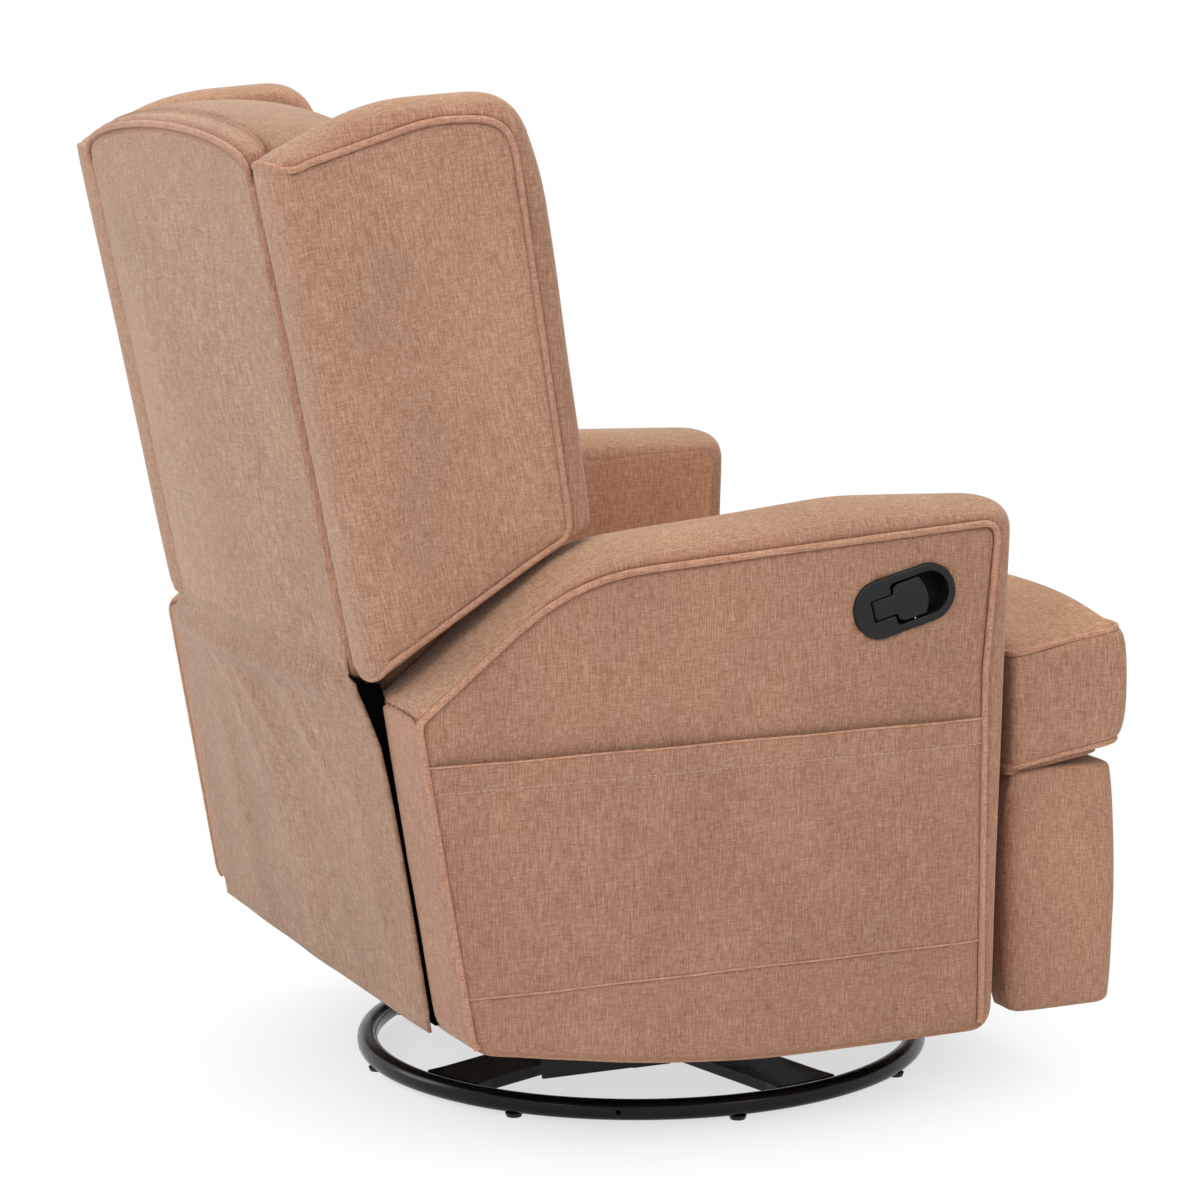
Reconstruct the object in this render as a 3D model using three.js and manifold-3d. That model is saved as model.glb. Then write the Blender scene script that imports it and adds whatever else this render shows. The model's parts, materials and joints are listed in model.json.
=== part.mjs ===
import * as THREE from 'three';
import Module from 'manifold-3d';
import { mergeVertices } from 'three/addons/utils/BufferGeometryUtils.js';

// Wing-back swivel glider recliner. Millimetres, +Z up. The sitter faces -Y, so the
// sitter's right side is -X. While the pieces are made, the swivel axis is x = y = 0 and
// the floor is z = 0. At the end the whole chair moves so that the middle of its
// footprint on the floor is the origin.

const wasm = await Module();
wasm.setup();

// Shared values

const contact = 0.3; // gap between two pieces that touch
const running = 0.6; // gap between two flat pieces that slide past each other
const overrun = 6; // how far a cutter runs past the face that it cuts
const studClearance = 0.5; // radial clearance of a round hole on its stud

// Round base

const ring = {
  radius: 286,
  tubeWidth: 21,
  tubeHeight: 20,
  sides: 12,
  segments: 48,
  drainRadius: 2.5,
  drainAngleDegrees: 152,
};
const glide = { count: 8, height: 4, radius: 9, baseRadius: 7.5, firstAngleDegrees: -4.5 };
const strap = {
  width: 68,
  flareWidth: 88,
  flareLength: 34,
  gauge: 3,
  flange: 11,
  topDrop: 1.5,
  anglesDegrees: [113, 13],
};
const hub = { radius: 78, height: 5, boltHoleRadius: 8.5 };
const bearing = { innerRadius: 38, outerRadius: 70, raceHeight: 4.5, ballRadius: 4, balls: 12 };
const cage = { thickness: 2, width: 12 };
const pivotBolt = { radius: 8, headRadius: 14, headHeight: 7, nutRadius: 13, nutHeight: 9 };

// Swivel carrier and glide linkage

const carrier = {
  plateSize: 230,
  plateGauge: 4,
  crossWidth: 40,
  crossHeight: 22,
  crossOffset: 88,
  sideX: 228,
  sideGauge: 4,
  railHalfLength: 205,
  railHeight: 26,
  railDrop: 2,
  postWidth: 34,
  postTopWidth: 26,
  postOffset: 150,
  postTopAbovePivot: 14,
};
const swing = {
  length: 120,
  lowerPivotZ: 97,
  width: 26,
  gauge: 4,
  travel: 45,
  studRadius: 4.5,
  headRadius: 8,
  headHeight: 2.4,
  slotClearance: 1.3,
};

// Seat box and arms

const arm = {
  innerX: 268,
  thickness: 117.5,
  faceCrown: 3,
  frontY: -236,
  length: 625,
  bottomZ: 85,
  height: 526,
  centreShare: 0.45,
};
// Corners of an outline: place along the length, place up the height, corner radius over height
const armCrestShares = [
  [0.032, 0.004, 0.057],
  [0.008, 0.637, 0.4],
  [0, 0.987, 0.057],
  [0.275, 1, 0.76],
  [0.718, 0.948, 0.247],
  [1, 0.688, 0.027],
  [0.918, 0.07, 0.076],
  [0.557, 0.006, 0.57],
];
const armFaceShares = [
  [0.074, 0.01, 0.027],
  [0.07, 0.675, 0.3],
  [0.048, 0.952, 0.03],
  [0.275, 0.936, 0.76],
  [0.749, 0.901, 0.447],
  [0.992, 0.671, 0.027],
  [0.913, 0.08, 0.048],
  [0.55, 0.011, 0.57],
];
const rearLean = 0.15; // how far the arms' rear faces run back for each unit of height

const seat = {
  slope: 0.15,
  frontY: -369,
  rearY: 230,
  earHalfWidth: 356,
  earRearGap: 5,
  sideGap: 2,
  bottomAtFrontZ: 358,
  thickness: 109,
  crown: 40,
  sideBulge: 12,
  frontCornerRadius: 36,
  sideRadius: 48,
  rearCornerRadius: 24,
  bowRadius: 109,
  frontBowRadius: 218,
  bow: 4,
};
const platform = { frontInset: 22, sideInset: 12, thickness: 10 };
const frontRail = { depth: 24, height: 20, frontY: -214 };
const rearRail = { depth: 24, height: 38, frontY: 238, bottomZ: 262 };
const sidePanel = { gauge: 12, bottomZ: 100, frontY: -206, rearGap: 3.6, topDrop: 8, rearTopZ: 300 };
const glideRail = { gauge: 4, height: 34, halfLength: 200 };
const lowRail = { depth: 22, height: 42, bottomZ: 134 };
const spring = { wireRadius: 2, amplitude: 20, waves: 10, stepsPerWave: 4, sides: 4, offsets: [-125, 0, 125] };

// Footrest linkage: two equal bars, so the front pivot runs straight forward

const rest = {
  barLength: 170,
  barWidth: 26,
  gauge: 4,
  pivotY: -130,
  pivotZ: 300,
  frontPivotY: -280,
  studRadius: 5,
  headRadius: 9,
  headHeight: 2.4,
  tubeRadius: 8,
  outerX: 206,
};
const footPad = {
  frontY: -357,
  thickness: 44,
  halfWidth: 350,
  bottomZ: 90,
  topZ: 333,
  crown: 5,
  edge: 12,
  rearEdge: 3,
  cornerRadius: 26,
};
const footBoard = { gauge: 12, sideInset: 22, endInset: 20 };
const footSide = { thickness: 48, rearY: -240, topDrop: 7, cornerRadius: 14, crown: 2, edge: 8 };
const footBracket = { gauge: 4, flange: 26, height: 90, noseLengthShare: 0.9, noseHeightShare: 0.4 };

// Recliner side plates and the back

const recline = { pivotY: 340, pivotZ: 350, studRadius: 7, headRadius: 12, headHeight: 3 };
const sidePlate = { innerX: 208, gauge: 4, padRadius: 20, bottomZ: 196, springClearance: 8, frontReach: 72 };
const back = {
  lean: 0.19,
  rearY: 403,
  bottomZ: 460,
  seamTopZ: 932,
  archRise: 34,
  halfWidth: 265,
  panelThickness: 20,
  panelCrown: 18,
  panelEdge: 4,
  panelFrontEdge: 1,
  panelCentreShare: 0.4,
  frameThickness: 26,
  padDepth: 136,
  padBottomZ: 395,
  padTopZ: 984,
  padShoulderZ: 942,
  padCrown: 40,
  padEdge: 34,
};
const backFrame = { postWidth: 30, railHeight: 40, topInset: 30, recessClearance: 1 };
const backBracket = { gauge: 4, width: 24, height: 210 };
// Corners of the bracket's foot round the pivot: places over the bracket's width
const bracketFootShares = [[-0.7, -0.3], [-0.3, -0.7], [0.4, -0.7], [0.8, 0]];
const wing = {
  gap: 0.4,
  thickness: 64.6,
  faceCrown: 4,
  length: 249,
  bottomZ: 462,
  height: 538,
  centreShare: 0.55,
};
// Corners of the wing's outline: place ahead of the back's rear line over the wing's
// length, place up the height, corner radius over the height
const wingCrestShares = [
  [0, 0, 0.02],
  [0.762, 0.21, 0.1],
  [1, 0.253, 0.022],
  [1.073, 0.861, 0.56],
  [1.001, 1, 0.102],
  [0.415, 0.981, 0.65],
  [0, 0.887, 0.015],
];
const wingFaceShares = [
  [0.045, 0.037, 0.03],
  [0.729, 0.208, 0.1],
  [0.871, 0.24, 0.02],
  [0.929, 0.814, 0.56],
  [0.941, 0.95, 0.067],
  [0.644, 0.951, 0.28],
  [0.04, 0.872, 0.02],
];
const wingInnerShares = [
  [0, 0.004, 0.02],
  [0.74, 0.226, 0.1],
  [0.9, 0.262, 0.022],
  [0.96, 0.83, 0.56],
  [0.95, 0.962, 0.067],
  [0.6, 0.96, 0.28],
  [0, 0.876, 0.015],
];
const flap = {
  halfWidth: 298,
  gauge: 4,
  bottomZ: 127,
  topGap: 2.5,
  standOff: 8,
  topCrown: 15,
  bottomCrown: 3,
  flareDepth: 12,
};

// Side pocket and release handle, on the sitter's right arm

const pocket = {
  gauge: 2.4,
  depth: 4.8,
  bottomZ: 179,
  topZ: 397,
  frontGap: 4,
  rearGap: 4,
  seam: 5,
  proud: 1.2,
  mouth: 24,
};
const bezel = {
  centreY: -103.8,
  centreZ: 517,
  tiltDegrees: 14.4,
  capRadius: 28,
  capSpacing: 53,
  proud: 3,
  lip: 3.5,
  depth: 28,
  wall: 2.6,
  rim: 7.5,
  face: 4,
  slotHalfWidth: 10.5,
  mouthRear: 42,
  shoulderWidthShare: 0.8,
  shoulderLengthShare: 0.3,
};
const lever = {
  gap: 1,
  sink: 1,
  thickness: 4,
  length: 80,
  paddleHalfWidth: 18.2,
  pinFromRear: 28,
  pinDepth: 6,
  pinRadius: 2,
};
// Corners of the paddle ahead of its neck: place back from its front and place across,
// both over its half width
const paddleFrontShares = [[0.3, 1], [0.08, 0.6]];
const paddleShoulderShares = [[0, 0.78], [0.35, 1]];
const leverSpring = { wireRadius: 0.7, turns: 3, length: 6, stepsPerTurn: 8, sides: 5 };
const cable = { radius: 2.5, tunnel: 2, bend: 46, dropZ: 262, steps: 14, sides: 6 };

// Materials

function paint(color, roughness, metalness) {
  return new THREE.MeshStandardMaterial({ color, roughness, metalness });
}
const fabric = paint(0xb08a6e, 0.95, 0);
const blackSteel = paint(0x121212, 0.25, 0.4);
const zincSteel = paint(0x9a9da0, 0.4, 0.9);
const wood = paint(0xc8a877, 0.8, 0);
const blackPlastic = paint(0x1c1c1e, 0.5, 0);
const glidePlastic = paint(0x161616, 0.6, 0);
const springSteel = paint(0x3c3f42, 0.45, 0.8);

const chair = new THREE.Group();

function addPart(name, geometry, material) {
  const mesh = new THREE.Mesh(geometry, material);
  mesh.name = name;
  chair.add(mesh);
  return mesh;
}

// Solid helpers

function toSolid(geometry) {
  const bare = geometry.clone();
  bare.deleteAttribute('normal');
  bare.deleteAttribute('uv');
  const merged = mergeVertices(bare);
  return new wasm.Manifold(new wasm.Mesh({
    numProp: 3,
    vertProperties: new Float32Array(merged.attributes.position.array),
    triVerts: new Uint32Array(merged.index.array),
  }));
}

function toGeometry(solid) {
  const mesh = solid.getMesh();
  const geometry = new THREE.BufferGeometry();
  geometry.setAttribute('position', new THREE.BufferAttribute(mesh.vertProperties, 3));
  geometry.setIndex(new THREE.BufferAttribute(mesh.triVerts, 1));
  geometry.computeVertexNormals();
  return geometry;
}

function join(...geometries) {
  return toGeometry(geometries.map(toSolid).reduce((whole, piece) => whole.add(piece)));
}

function cut(geometry, ...cutters) {
  return toGeometry(cutters.map(toSolid).reduce((whole, piece) => whole.subtract(piece), toSolid(geometry)));
}

function keep(geometry, limit) {
  return toGeometry(toSolid(geometry).intersect(toSolid(limit)));
}

// The same piece on the other side of the plane x = 0
function mirrored(geometry) {
  const copy = geometry.index ? geometry.toNonIndexed() : geometry.clone();
  copy.scale(-1, 1, 1);
  const positions = copy.attributes.position;
  for (let corner = 0; corner < positions.count; corner += 3) {
    const second = new THREE.Vector3().fromBufferAttribute(positions, corner + 1);
    const third = new THREE.Vector3().fromBufferAttribute(positions, corner + 2);
    positions.setXYZ(corner + 1, third.x, third.y, third.z);
    positions.setXYZ(corner + 2, second.x, second.y, second.z);
  }
  copy.deleteAttribute('normal');
  copy.deleteAttribute('uv');
  return mergeVertices(copy);
}

function onSide(side, geometry) {
  return side < 0 ? mirrored(geometry) : geometry;
}

function block([x0, x1], [y0, y1], [z0, z1]) {
  const geometry = new THREE.BoxGeometry(x1 - x0, y1 - y0, z1 - z0);
  return geometry.translate((x0 + x1) / 2, (y0 + y1) / 2, (z0 + z1) / 2);
}

// A cylinder on the line along x from x0 to x1
const pinSegments = 16;

function axle(x0, x1, y, z, radius, segments = 20) {
  const geometry = new THREE.CylinderGeometry(radius, radius, x1 - x0, segments);
  return geometry.rotateZ(Math.PI / 2).translate((x0 + x1) / 2, y, z);
}

function upright(radius, z0, z1, segments = 32) {
  const geometry = new THREE.CylinderGeometry(radius, radius, z1 - z0, segments);
  return geometry.rotateX(Math.PI / 2).translate(0, 0, (z0 + z1) / 2);
}

// A flat plate with its outline in y and z, between two planes of x
function plate(points, x0, x1, holes = []) {
  const shape = new THREE.Shape(points.map(([y, z]) => new THREE.Vector2(y, z)));
  holes.forEach(hole => shape.holes.push(new THREE.Path(hole.map(([y, z]) => new THREE.Vector2(y, z)))));
  const geometry = new THREE.ExtrudeGeometry(shape, { depth: x1 - x0, bevelEnabled: false });
  // The shape's own axes go to y and z, and its depth to x
  geometry.applyMatrix4(new THREE.Matrix4().makeBasis(
    new THREE.Vector3(0, 1, 0),
    new THREE.Vector3(0, 0, 1),
    new THREE.Vector3(1, 0, 0),
  ));
  return geometry.translate(x0, 0, 0);
}

// Points of a bar with round ends, from one point to another
function barOutline([y0, z0], [y1, z1], radius, steps = 8) {
  const heading = Math.atan2(z1 - z0, y1 - y0);
  const points = [];
  [[y1, z1, heading - Math.PI / 2], [y0, z0, heading + Math.PI / 2]].forEach(([y, z, start]) => {
    for (let step = 0; step <= steps; step += 1) {
      const angle = start + Math.PI * step / steps;
      points.push([y + radius * Math.cos(angle), z + radius * Math.sin(angle)]);
    }
  });
  return points;
}

// Points of a polygon whose corners [u, v, radius] are rounded. Each corner gives the same
// number of points, so two such outlines with as many corners match point by point.
function roundedOutline(corners, steps = 4, between = 1) {
  const points = [];
  const count = corners.length;
  const arcs = corners.map(([u, v, radius], index) => {
    const here = new THREE.Vector2(u, v);
    const before = new THREE.Vector2(...corners[(index + count - 1) % count]).sub(here);
    const after = new THREE.Vector2(...corners[(index + 1) % count]).sub(here);
    const turn = Math.PI - Math.abs(before.angleTo(after));
    const reach = Math.min(radius * Math.tan(turn / 2), before.length() / 2.05, after.length() / 2.05);
    return {
      here,
      start: here.clone().addScaledVector(before.normalize(), reach),
      end: here.clone().addScaledVector(after.normalize(), reach),
    };
  });
  arcs.forEach((arc, index) => {
    const curve = new THREE.QuadraticBezierCurve(arc.start, arc.here, arc.end);
    curve.getPoints(steps).forEach(point => points.push([point.x, point.y]));
    const next = arcs[(index + 1) % count].start;
    for (let step = 1; step <= between; step += 1) {
      const point = arc.end.clone().lerp(next, step / (between + 1));
      points.push([point.x, point.y]);
    }
  });
  return points;
}

// A stuffed form. Its middle outline and its two face outlines match point by point, the
// edge between them is round, and each face domes up by its crown. place() turns the
// outline's u and v and the place w through the thickness into a point.
function padded({
  crest,
  faces,
  thickness,
  crowns,
  centre,
  place,
  edgeSteps = 3,
  ringShares = [0.45, 0.75, 0.92],
  crownPower = 3,
}) {
  const half = thickness / 2;
  const loops = [];
  const domed = (face, crown, share, side) => face.map(([u, v]) => [
    centre[0] + (u - centre[0]) * share,
    centre[1] + (v - centre[1]) * share,
    side * (half + crown * (1 - share ** crownPower)),
  ]);
  ringShares.forEach(share => loops.push(domed(faces[0], crowns[0], share, 1)));
  for (let step = 0; step <= 2 * edgeSteps; step += 1) {
    const angle = Math.PI * step / (2 * edgeSteps);
    const side = Math.sign(Math.cos(angle) + 1e-9);
    const face = side > 0 ? faces[0] : faces[1];
    const outward = Math.sin(angle);
    loops.push(face.map(([u, v], index) => [
      u + (crest[index][0] - u) * outward,
      v + (crest[index][1] - v) * outward,
      half * Math.cos(angle),
    ]));
  }
  [...ringShares].reverse().forEach(share => loops.push(domed(faces[1], crowns[1], share, -1)));

  const count = crest.length;
  const positions = [];
  loops.forEach(loop => loop.forEach(([u, v, w]) => positions.push(...place(u, v, w))));
  const top = positions.length / 3;
  positions.push(...place(centre[0], centre[1], half + crowns[0]));
  positions.push(...place(centre[0], centre[1], -half - crowns[1]));
  const triangles = [];
  for (let index = 0; index < count; index += 1) {
    const next = (index + 1) % count;
    triangles.push(top, index, next);
    for (let loop = 0; loop + 1 < loops.length; loop += 1) {
      const here = loop * count;
      const below = here + count;
      triangles.push(here + index, below + index, below + next);
      triangles.push(here + index, below + next, here + next);
    }
    const last = (loops.length - 1) * count;
    triangles.push(top + 1, last + next, last + index);
  }
  const geometry = new THREE.BufferGeometry();
  geometry.setAttribute('position', new THREE.Float32BufferAttribute(positions, 3));
  geometry.setIndex(triangles);
  return facingOut(geometry);
}

// Turns the faces round if they point into the solid
function facingOut(geometry) {
  const positions = geometry.attributes.position;
  const order = geometry.index.array;
  const corner = index => new THREE.Vector3().fromBufferAttribute(positions, order[index]);
  let volume = 0;
  for (let start = 0; start < order.length; start += 3) {
    volume += corner(start).dot(corner(start + 1).cross(corner(start + 2)));
  }
  if (volume < 0) {
    for (let start = 0; start < order.length; start += 3) {
      [order[start + 1], order[start + 2]] = [order[start + 2], order[start + 1]];
    }
  }
  geometry.computeVertexNormals();
  return geometry;
}

// A round tube along a curve
function tube(curve, radius, steps, sides) {
  const section = new THREE.Shape();
  for (let side = 0; side < sides; side += 1) {
    const angle = 2 * Math.PI * side / sides;
    const point = [radius * Math.cos(angle), radius * Math.sin(angle)];
    if (side === 0) section.moveTo(...point);
    else section.lineTo(...point);
  }
  section.closePath();
  return new THREE.ExtrudeGeometry(section, { steps, extrudePath: curve, bevelEnabled: false });
}

function circle(y, z, radius, segments = 16) {
  return Array.from({ length: segments }, (_, index) => {
    const angle = 2 * Math.PI * index / segments;
    return [y + radius * Math.cos(angle), z + radius * Math.sin(angle)];
  });
}

// A closed profile of [radius, z] points turned about the z axis
function turned(profile, segments = 32) {
  const points = [...profile, profile[0]].map(([radius, z]) => new THREE.Vector2(radius, z));
  return facingOut(mergedLathe(points, segments));
}

function mergedLathe(points, segments) {
  const geometry = new THREE.LatheGeometry(points, segments).rotateX(Math.PI / 2);
  geometry.deleteAttribute('normal');
  geometry.deleteAttribute('uv');
  return mergeVertices(geometry);
}

function washer(innerRadius, outerRadius, z0, z1, segments = 32) {
  return turned([[innerRadius, z0], [outerRadius, z0], [outerRadius, z1], [innerRadius, z1]], segments);
}

// Round base: a tube ring on plastic glides, a pair of crossed straps and the bearing

const ringMidZ = glide.height + contact + ring.tubeHeight / 2;
const ringTopZ = ringMidZ + ring.tubeHeight / 2;

function makeBaseRing() {
  // A side of the section lies flat at the bottom, where the glides sit
  const flatten = 1 / Math.cos(Math.PI / ring.sides);
  const profile = Array.from({ length: ring.sides }, (_, index) => {
    const angle = 2 * Math.PI * (index + 0.5) / ring.sides;
    return [
      ring.radius + ring.tubeWidth / 2 * flatten * Math.cos(angle),
      ringMidZ + ring.tubeHeight / 2 * flatten * Math.sin(angle),
    ];
  });
  const drain = axle(ring.radius, ring.radius + ring.tubeWidth / 2 + overrun, 0, ringMidZ, ring.drainRadius, 10);
  drain.rotateZ(THREE.MathUtils.degToRad(ring.drainAngleDegrees));
  addPart('base_ring', cut(turned(profile, ring.segments), drain), blackSteel);
}

function makeGlides() {
  for (let index = 0; index < glide.count; index += 1) {
    const geometry = new THREE.CylinderGeometry(glide.radius, glide.baseRadius, glide.height, 12);
    geometry.rotateX(Math.PI / 2).translate(ring.radius, 0, glide.height / 2);
    geometry.rotateZ(THREE.MathUtils.degToRad(glide.firstAngleDegrees) + 2 * Math.PI * index / glide.count);
    addPart(`base_glide_${index + 1}`, geometry, glidePlastic);
  }
}

const strapTopZ = ringTopZ - strap.topDrop;
const hubTopZ = strapTopZ + hub.height;

function makeBaseCross() {
  const reach = ring.radius;
  const half = strap.width / 2;
  const flare = strap.flareWidth / 2;
  const quarter = [
    [reach, flare],
    [reach - strap.flareLength / 3, half + (flare - half) / 4],
    [reach - strap.flareLength, half],
  ];
  const outline = [
    ...quarter,
    ...[...quarter].reverse().map(([along, across]) => [-along, across]),
    ...quarter.map(([along, across]) => [-along, -across]),
    ...[...quarter].reverse().map(([along, across]) => [along, -across]),
  ];
  const inset = outline.map(([along, across]) => [
    along * (1 + strap.gauge / reach),
    across - Math.sign(across) * strap.gauge,
  ]);
  const slab = (points, z0, z1) => {
    const shape = new THREE.Shape(points.map(([x, y]) => new THREE.Vector2(x, y)));
    return new THREE.ExtrudeGeometry(shape, { depth: z1 - z0, bevelEnabled: false }).translate(0, 0, z0);
  };
  const bottomZ = strapTopZ - strap.flange;
  const straps = strap.anglesDegrees.map(degrees => {
    const channel = cut(
      slab(outline, bottomZ, strapTopZ),
      slab(inset, bottomZ - overrun, strapTopZ - strap.gauge),
    );
    return channel.rotateZ(THREE.MathUtils.degToRad(degrees));
  });
  const inside = upright(ring.radius - ring.tubeWidth / 2 - contact, 0, hubTopZ + overrun, ring.segments);
  const trimmed = keep(join(...straps, upright(hub.radius, strapTopZ - strap.gauge, hubTopZ, 36)), inside);
  const boltHole = upright(hub.boltHoleRadius, 0, hubTopZ + overrun, 20);
  // The flanges of one strap stop where the other strap crosses
  const crossing = upright(strap.width / 2, bottomZ - overrun, strapTopZ - strap.gauge, 24);
  addPart('base_cross', cut(trimmed, boltHole, crossing), blackSteel);
}

const lowerRaceZ = hubTopZ + contact;
const ballMidZ = lowerRaceZ + bearing.raceHeight + contact + bearing.ballRadius;
const upperRaceZ = ballMidZ + bearing.ballRadius + contact;
const plateZ = upperRaceZ + bearing.raceHeight + contact;
const plateTopZ = plateZ + carrier.plateGauge;

function makeBearing() {
  const lower = washer(bearing.innerRadius, bearing.outerRadius, lowerRaceZ, lowerRaceZ + bearing.raceHeight);
  addPart('bearing_lower_race', lower, zincSteel);
  const middle = (bearing.innerRadius + bearing.outerRadius) / 2;
  const band = washer(
    middle - cage.width / 2,
    middle + cage.width / 2,
    ballMidZ - cage.thickness / 2,
    ballMidZ + cage.thickness / 2,
    28,
  );
  const balls = Array.from({ length: bearing.balls }, (_, index) => {
    const ball = new THREE.SphereGeometry(bearing.ballRadius, 6, 4);
    return ball.translate(middle, 0, ballMidZ).rotateZ(2 * Math.PI * index / bearing.balls);
  });
  addPart('bearing_ball_cage', join(band, ...balls), zincSteel);
  const upper = washer(bearing.innerRadius, bearing.outerRadius, upperRaceZ, upperRaceZ + bearing.raceHeight);
  addPart('bearing_upper_race', upper, zincSteel);
}

function makePivotBolt() {
  const headTopZ = strapTopZ - strap.gauge - contact;
  const nutZ = plateTopZ + running;
  const topZ = nutZ + pivotBolt.nutHeight;
  const head = upright(pivotBolt.headRadius, headTopZ - pivotBolt.headHeight, headTopZ, 6);
  const shank = upright(pivotBolt.radius, headTopZ - pivotBolt.headHeight, topZ, 20);
  const nut = upright(pivotBolt.nutRadius, nutZ, topZ, 6);
  addPart('pivot_bolt', join(head, shank, nut), zincSteel);
}

// Swivel carrier: a plate, two cross channels and two side brackets with tall posts

const swingUpperZ = swing.lowerPivotZ + swing.length;
const carrierRailZ = plateTopZ - carrier.railDrop;

function stud(x0, x1, y, z, radius, headRadius, headHeight) {
  // The head is at x1
  const inward = Math.sign(x1 - x0);
  const ends = [x0, x1].sort((a, b) => a - b);
  const headEnds = [x1 - inward * headHeight, x1].sort((a, b) => a - b);
  return join(axle(...ends, y, z, radius, pinSegments), axle(...headEnds, y, z, headRadius, pinSegments));
}

const linkX = carrier.sideX + carrier.sideGauge + running;
const linkOuterX = linkX + swing.gauge;

function makeCarrier() {
  const half = carrier.plateSize / 2;
  const crosses = [-1, 1].map(end => block(
    [-carrier.sideX + contact, carrier.sideX - contact],
    [end * carrier.crossOffset - carrier.crossWidth / 2, end * carrier.crossOffset + carrier.crossWidth / 2],
    [plateZ, plateTopZ + carrier.crossHeight],
  ));
  const turningPlate = cut(
    join(block([-half, half], [-half, half], [plateZ, plateTopZ]), ...crosses),
    upright(hub.boltHoleRadius, 0, plateTopZ + overrun, 20),
  );
  addPart('carrier_cross', turningPlate, blackSteel);
  const railTopZ = carrierRailZ + carrier.railHeight;
  const topZ = swingUpperZ + carrier.postTopAbovePivot;
  const post = carrier.postWidth / 2;
  const postTop = carrier.postTopWidth / 2;
  const outer = [
    [carrier.railHalfLength, carrierRailZ],
    [carrier.railHalfLength, railTopZ],
    [carrier.postOffset + post, railTopZ + carrier.railHeight / 2],
    [carrier.postOffset + postTop, topZ],
    [carrier.postOffset - postTop, topZ],
    [carrier.postOffset - post, railTopZ],
  ];
  const outline = [...outer, ...[...outer].reverse().map(([y, z]) => [-y, z])];
  const studEndX = linkOuterX + running + swing.headHeight;
  const studs = [-1, 1].map(end => stud(
    carrier.sideX,
    studEndX,
    end * carrier.postOffset,
    swingUpperZ,
    swing.studRadius,
    swing.headRadius,
    swing.headHeight,
  ));
  const bracket = join(plate(outline, carrier.sideX, carrier.sideX + carrier.sideGauge), ...studs);
  addPart('carrier_side_left', bracket, blackSteel);
  addPart('carrier_side_right', onSide(-1, bracket), blackSteel);
}

function makeSwingLinks() {
  // The chair moves level while the link's end moves on an arc, so the lower hole is a slot
  const slotEnd = Math.hypot(swing.length, swing.travel) - swing.length;
  const slotRadius = swing.studRadius + swing.slotClearance;
  [['front', -1], ['rear', 1]].forEach(([place, end]) => {
    const y = end * carrier.postOffset;
    const outline = barOutline([y, swing.lowerPivotZ - slotEnd], [y, swingUpperZ], swing.width / 2);
    const slot = barOutline([y, swing.lowerPivotZ - slotEnd], [y, swing.lowerPivotZ], slotRadius, 6);
    const hole = circle(y, swingUpperZ, swing.studRadius + studClearance);
    const link = plate(outline, linkX, linkOuterX, [slot, hole]);
    addPart(`swing_link_${place}_left`, link, zincSteel);
    addPart(`swing_link_${place}_right`, onSide(-1, link), zincSteel);
  });
}

// Chair frame: glide rails, side panels, rails and seat springs

const panelOuterX = arm.innerX - contact;
const panelInnerX = panelOuterX - sidePanel.gauge;
const glideRailOuterX = panelInnerX - contact;
const glideRailInnerX = glideRailOuterX - glideRail.gauge;

// The underside of the seat cushion, which slopes down towards the back
function cushionBottom(y) {
  return seat.bottomAtFrontZ - seat.slope * (y - seat.frontY);
}

function makeGlideRails() {
  const z0 = swing.lowerPivotZ - glideRail.height / 2;
  const strip = block(
    [glideRailInnerX, glideRailOuterX],
    [-glideRail.halfLength, glideRail.halfLength],
    [z0, z0 + glideRail.height],
  );
  // Each stud has a collar beside the link and goes through the link's slot
  const studs = [-1, 1].flatMap(end => {
    const y = end * carrier.postOffset;
    return [
      axle(linkX - running / 2, glideRailOuterX, y, swing.lowerPivotZ, swing.studRadius, pinSegments),
      axle(linkOuterX + running, glideRailOuterX, y, swing.lowerPivotZ, swing.headRadius, pinSegments),
    ];
  });
  const rail = join(strip, ...studs);
  addPart('glide_rail_left', rail, blackSteel);
  addPart('glide_rail_right', onSide(-1, rail), blackSteel);
}

function lowRailRearY() {
  return flapInnerY(0, lowRail.bottomZ) - flap.bottomCrown - contact;
}

function makeSidePanels() {
  const rearY = lowRailRearY() - lowRail.depth - sidePanel.rearGap;
  const outline = [
    [sidePanel.frontY, sidePanel.bottomZ],
    [rearY, sidePanel.bottomZ + rearLean * (rearY - sidePanel.frontY) / 2],
    [rearY, sidePanel.rearTopZ],
    [seat.rearY, sidePanel.rearTopZ],
    [seat.rearY, cushionBottom(seat.rearY) - sidePanel.topDrop],
    [sidePanel.frontY, cushionBottom(sidePanel.frontY) - sidePanel.topDrop],
  ];
  const outlineLeft = plate(outline, panelInnerX, panelOuterX);
  addPart('side_panel_left', outlineLeft, wood);
  const hole = axle(
    -panelOuterX - overrun,
    -panelInnerX + overrun,
    bezel.centreY,
    cable.dropZ,
    cable.radius + cable.tunnel,
    12,
  );
  addPart('side_panel_right', cut(onSide(-1, outlineLeft), hole), wood);
}

const frontRailTopZ = cushionBottom(frontRail.frontY + frontRail.depth) - contact;
const frontRailBottomZ = frontRailTopZ - frontRail.height;

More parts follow.
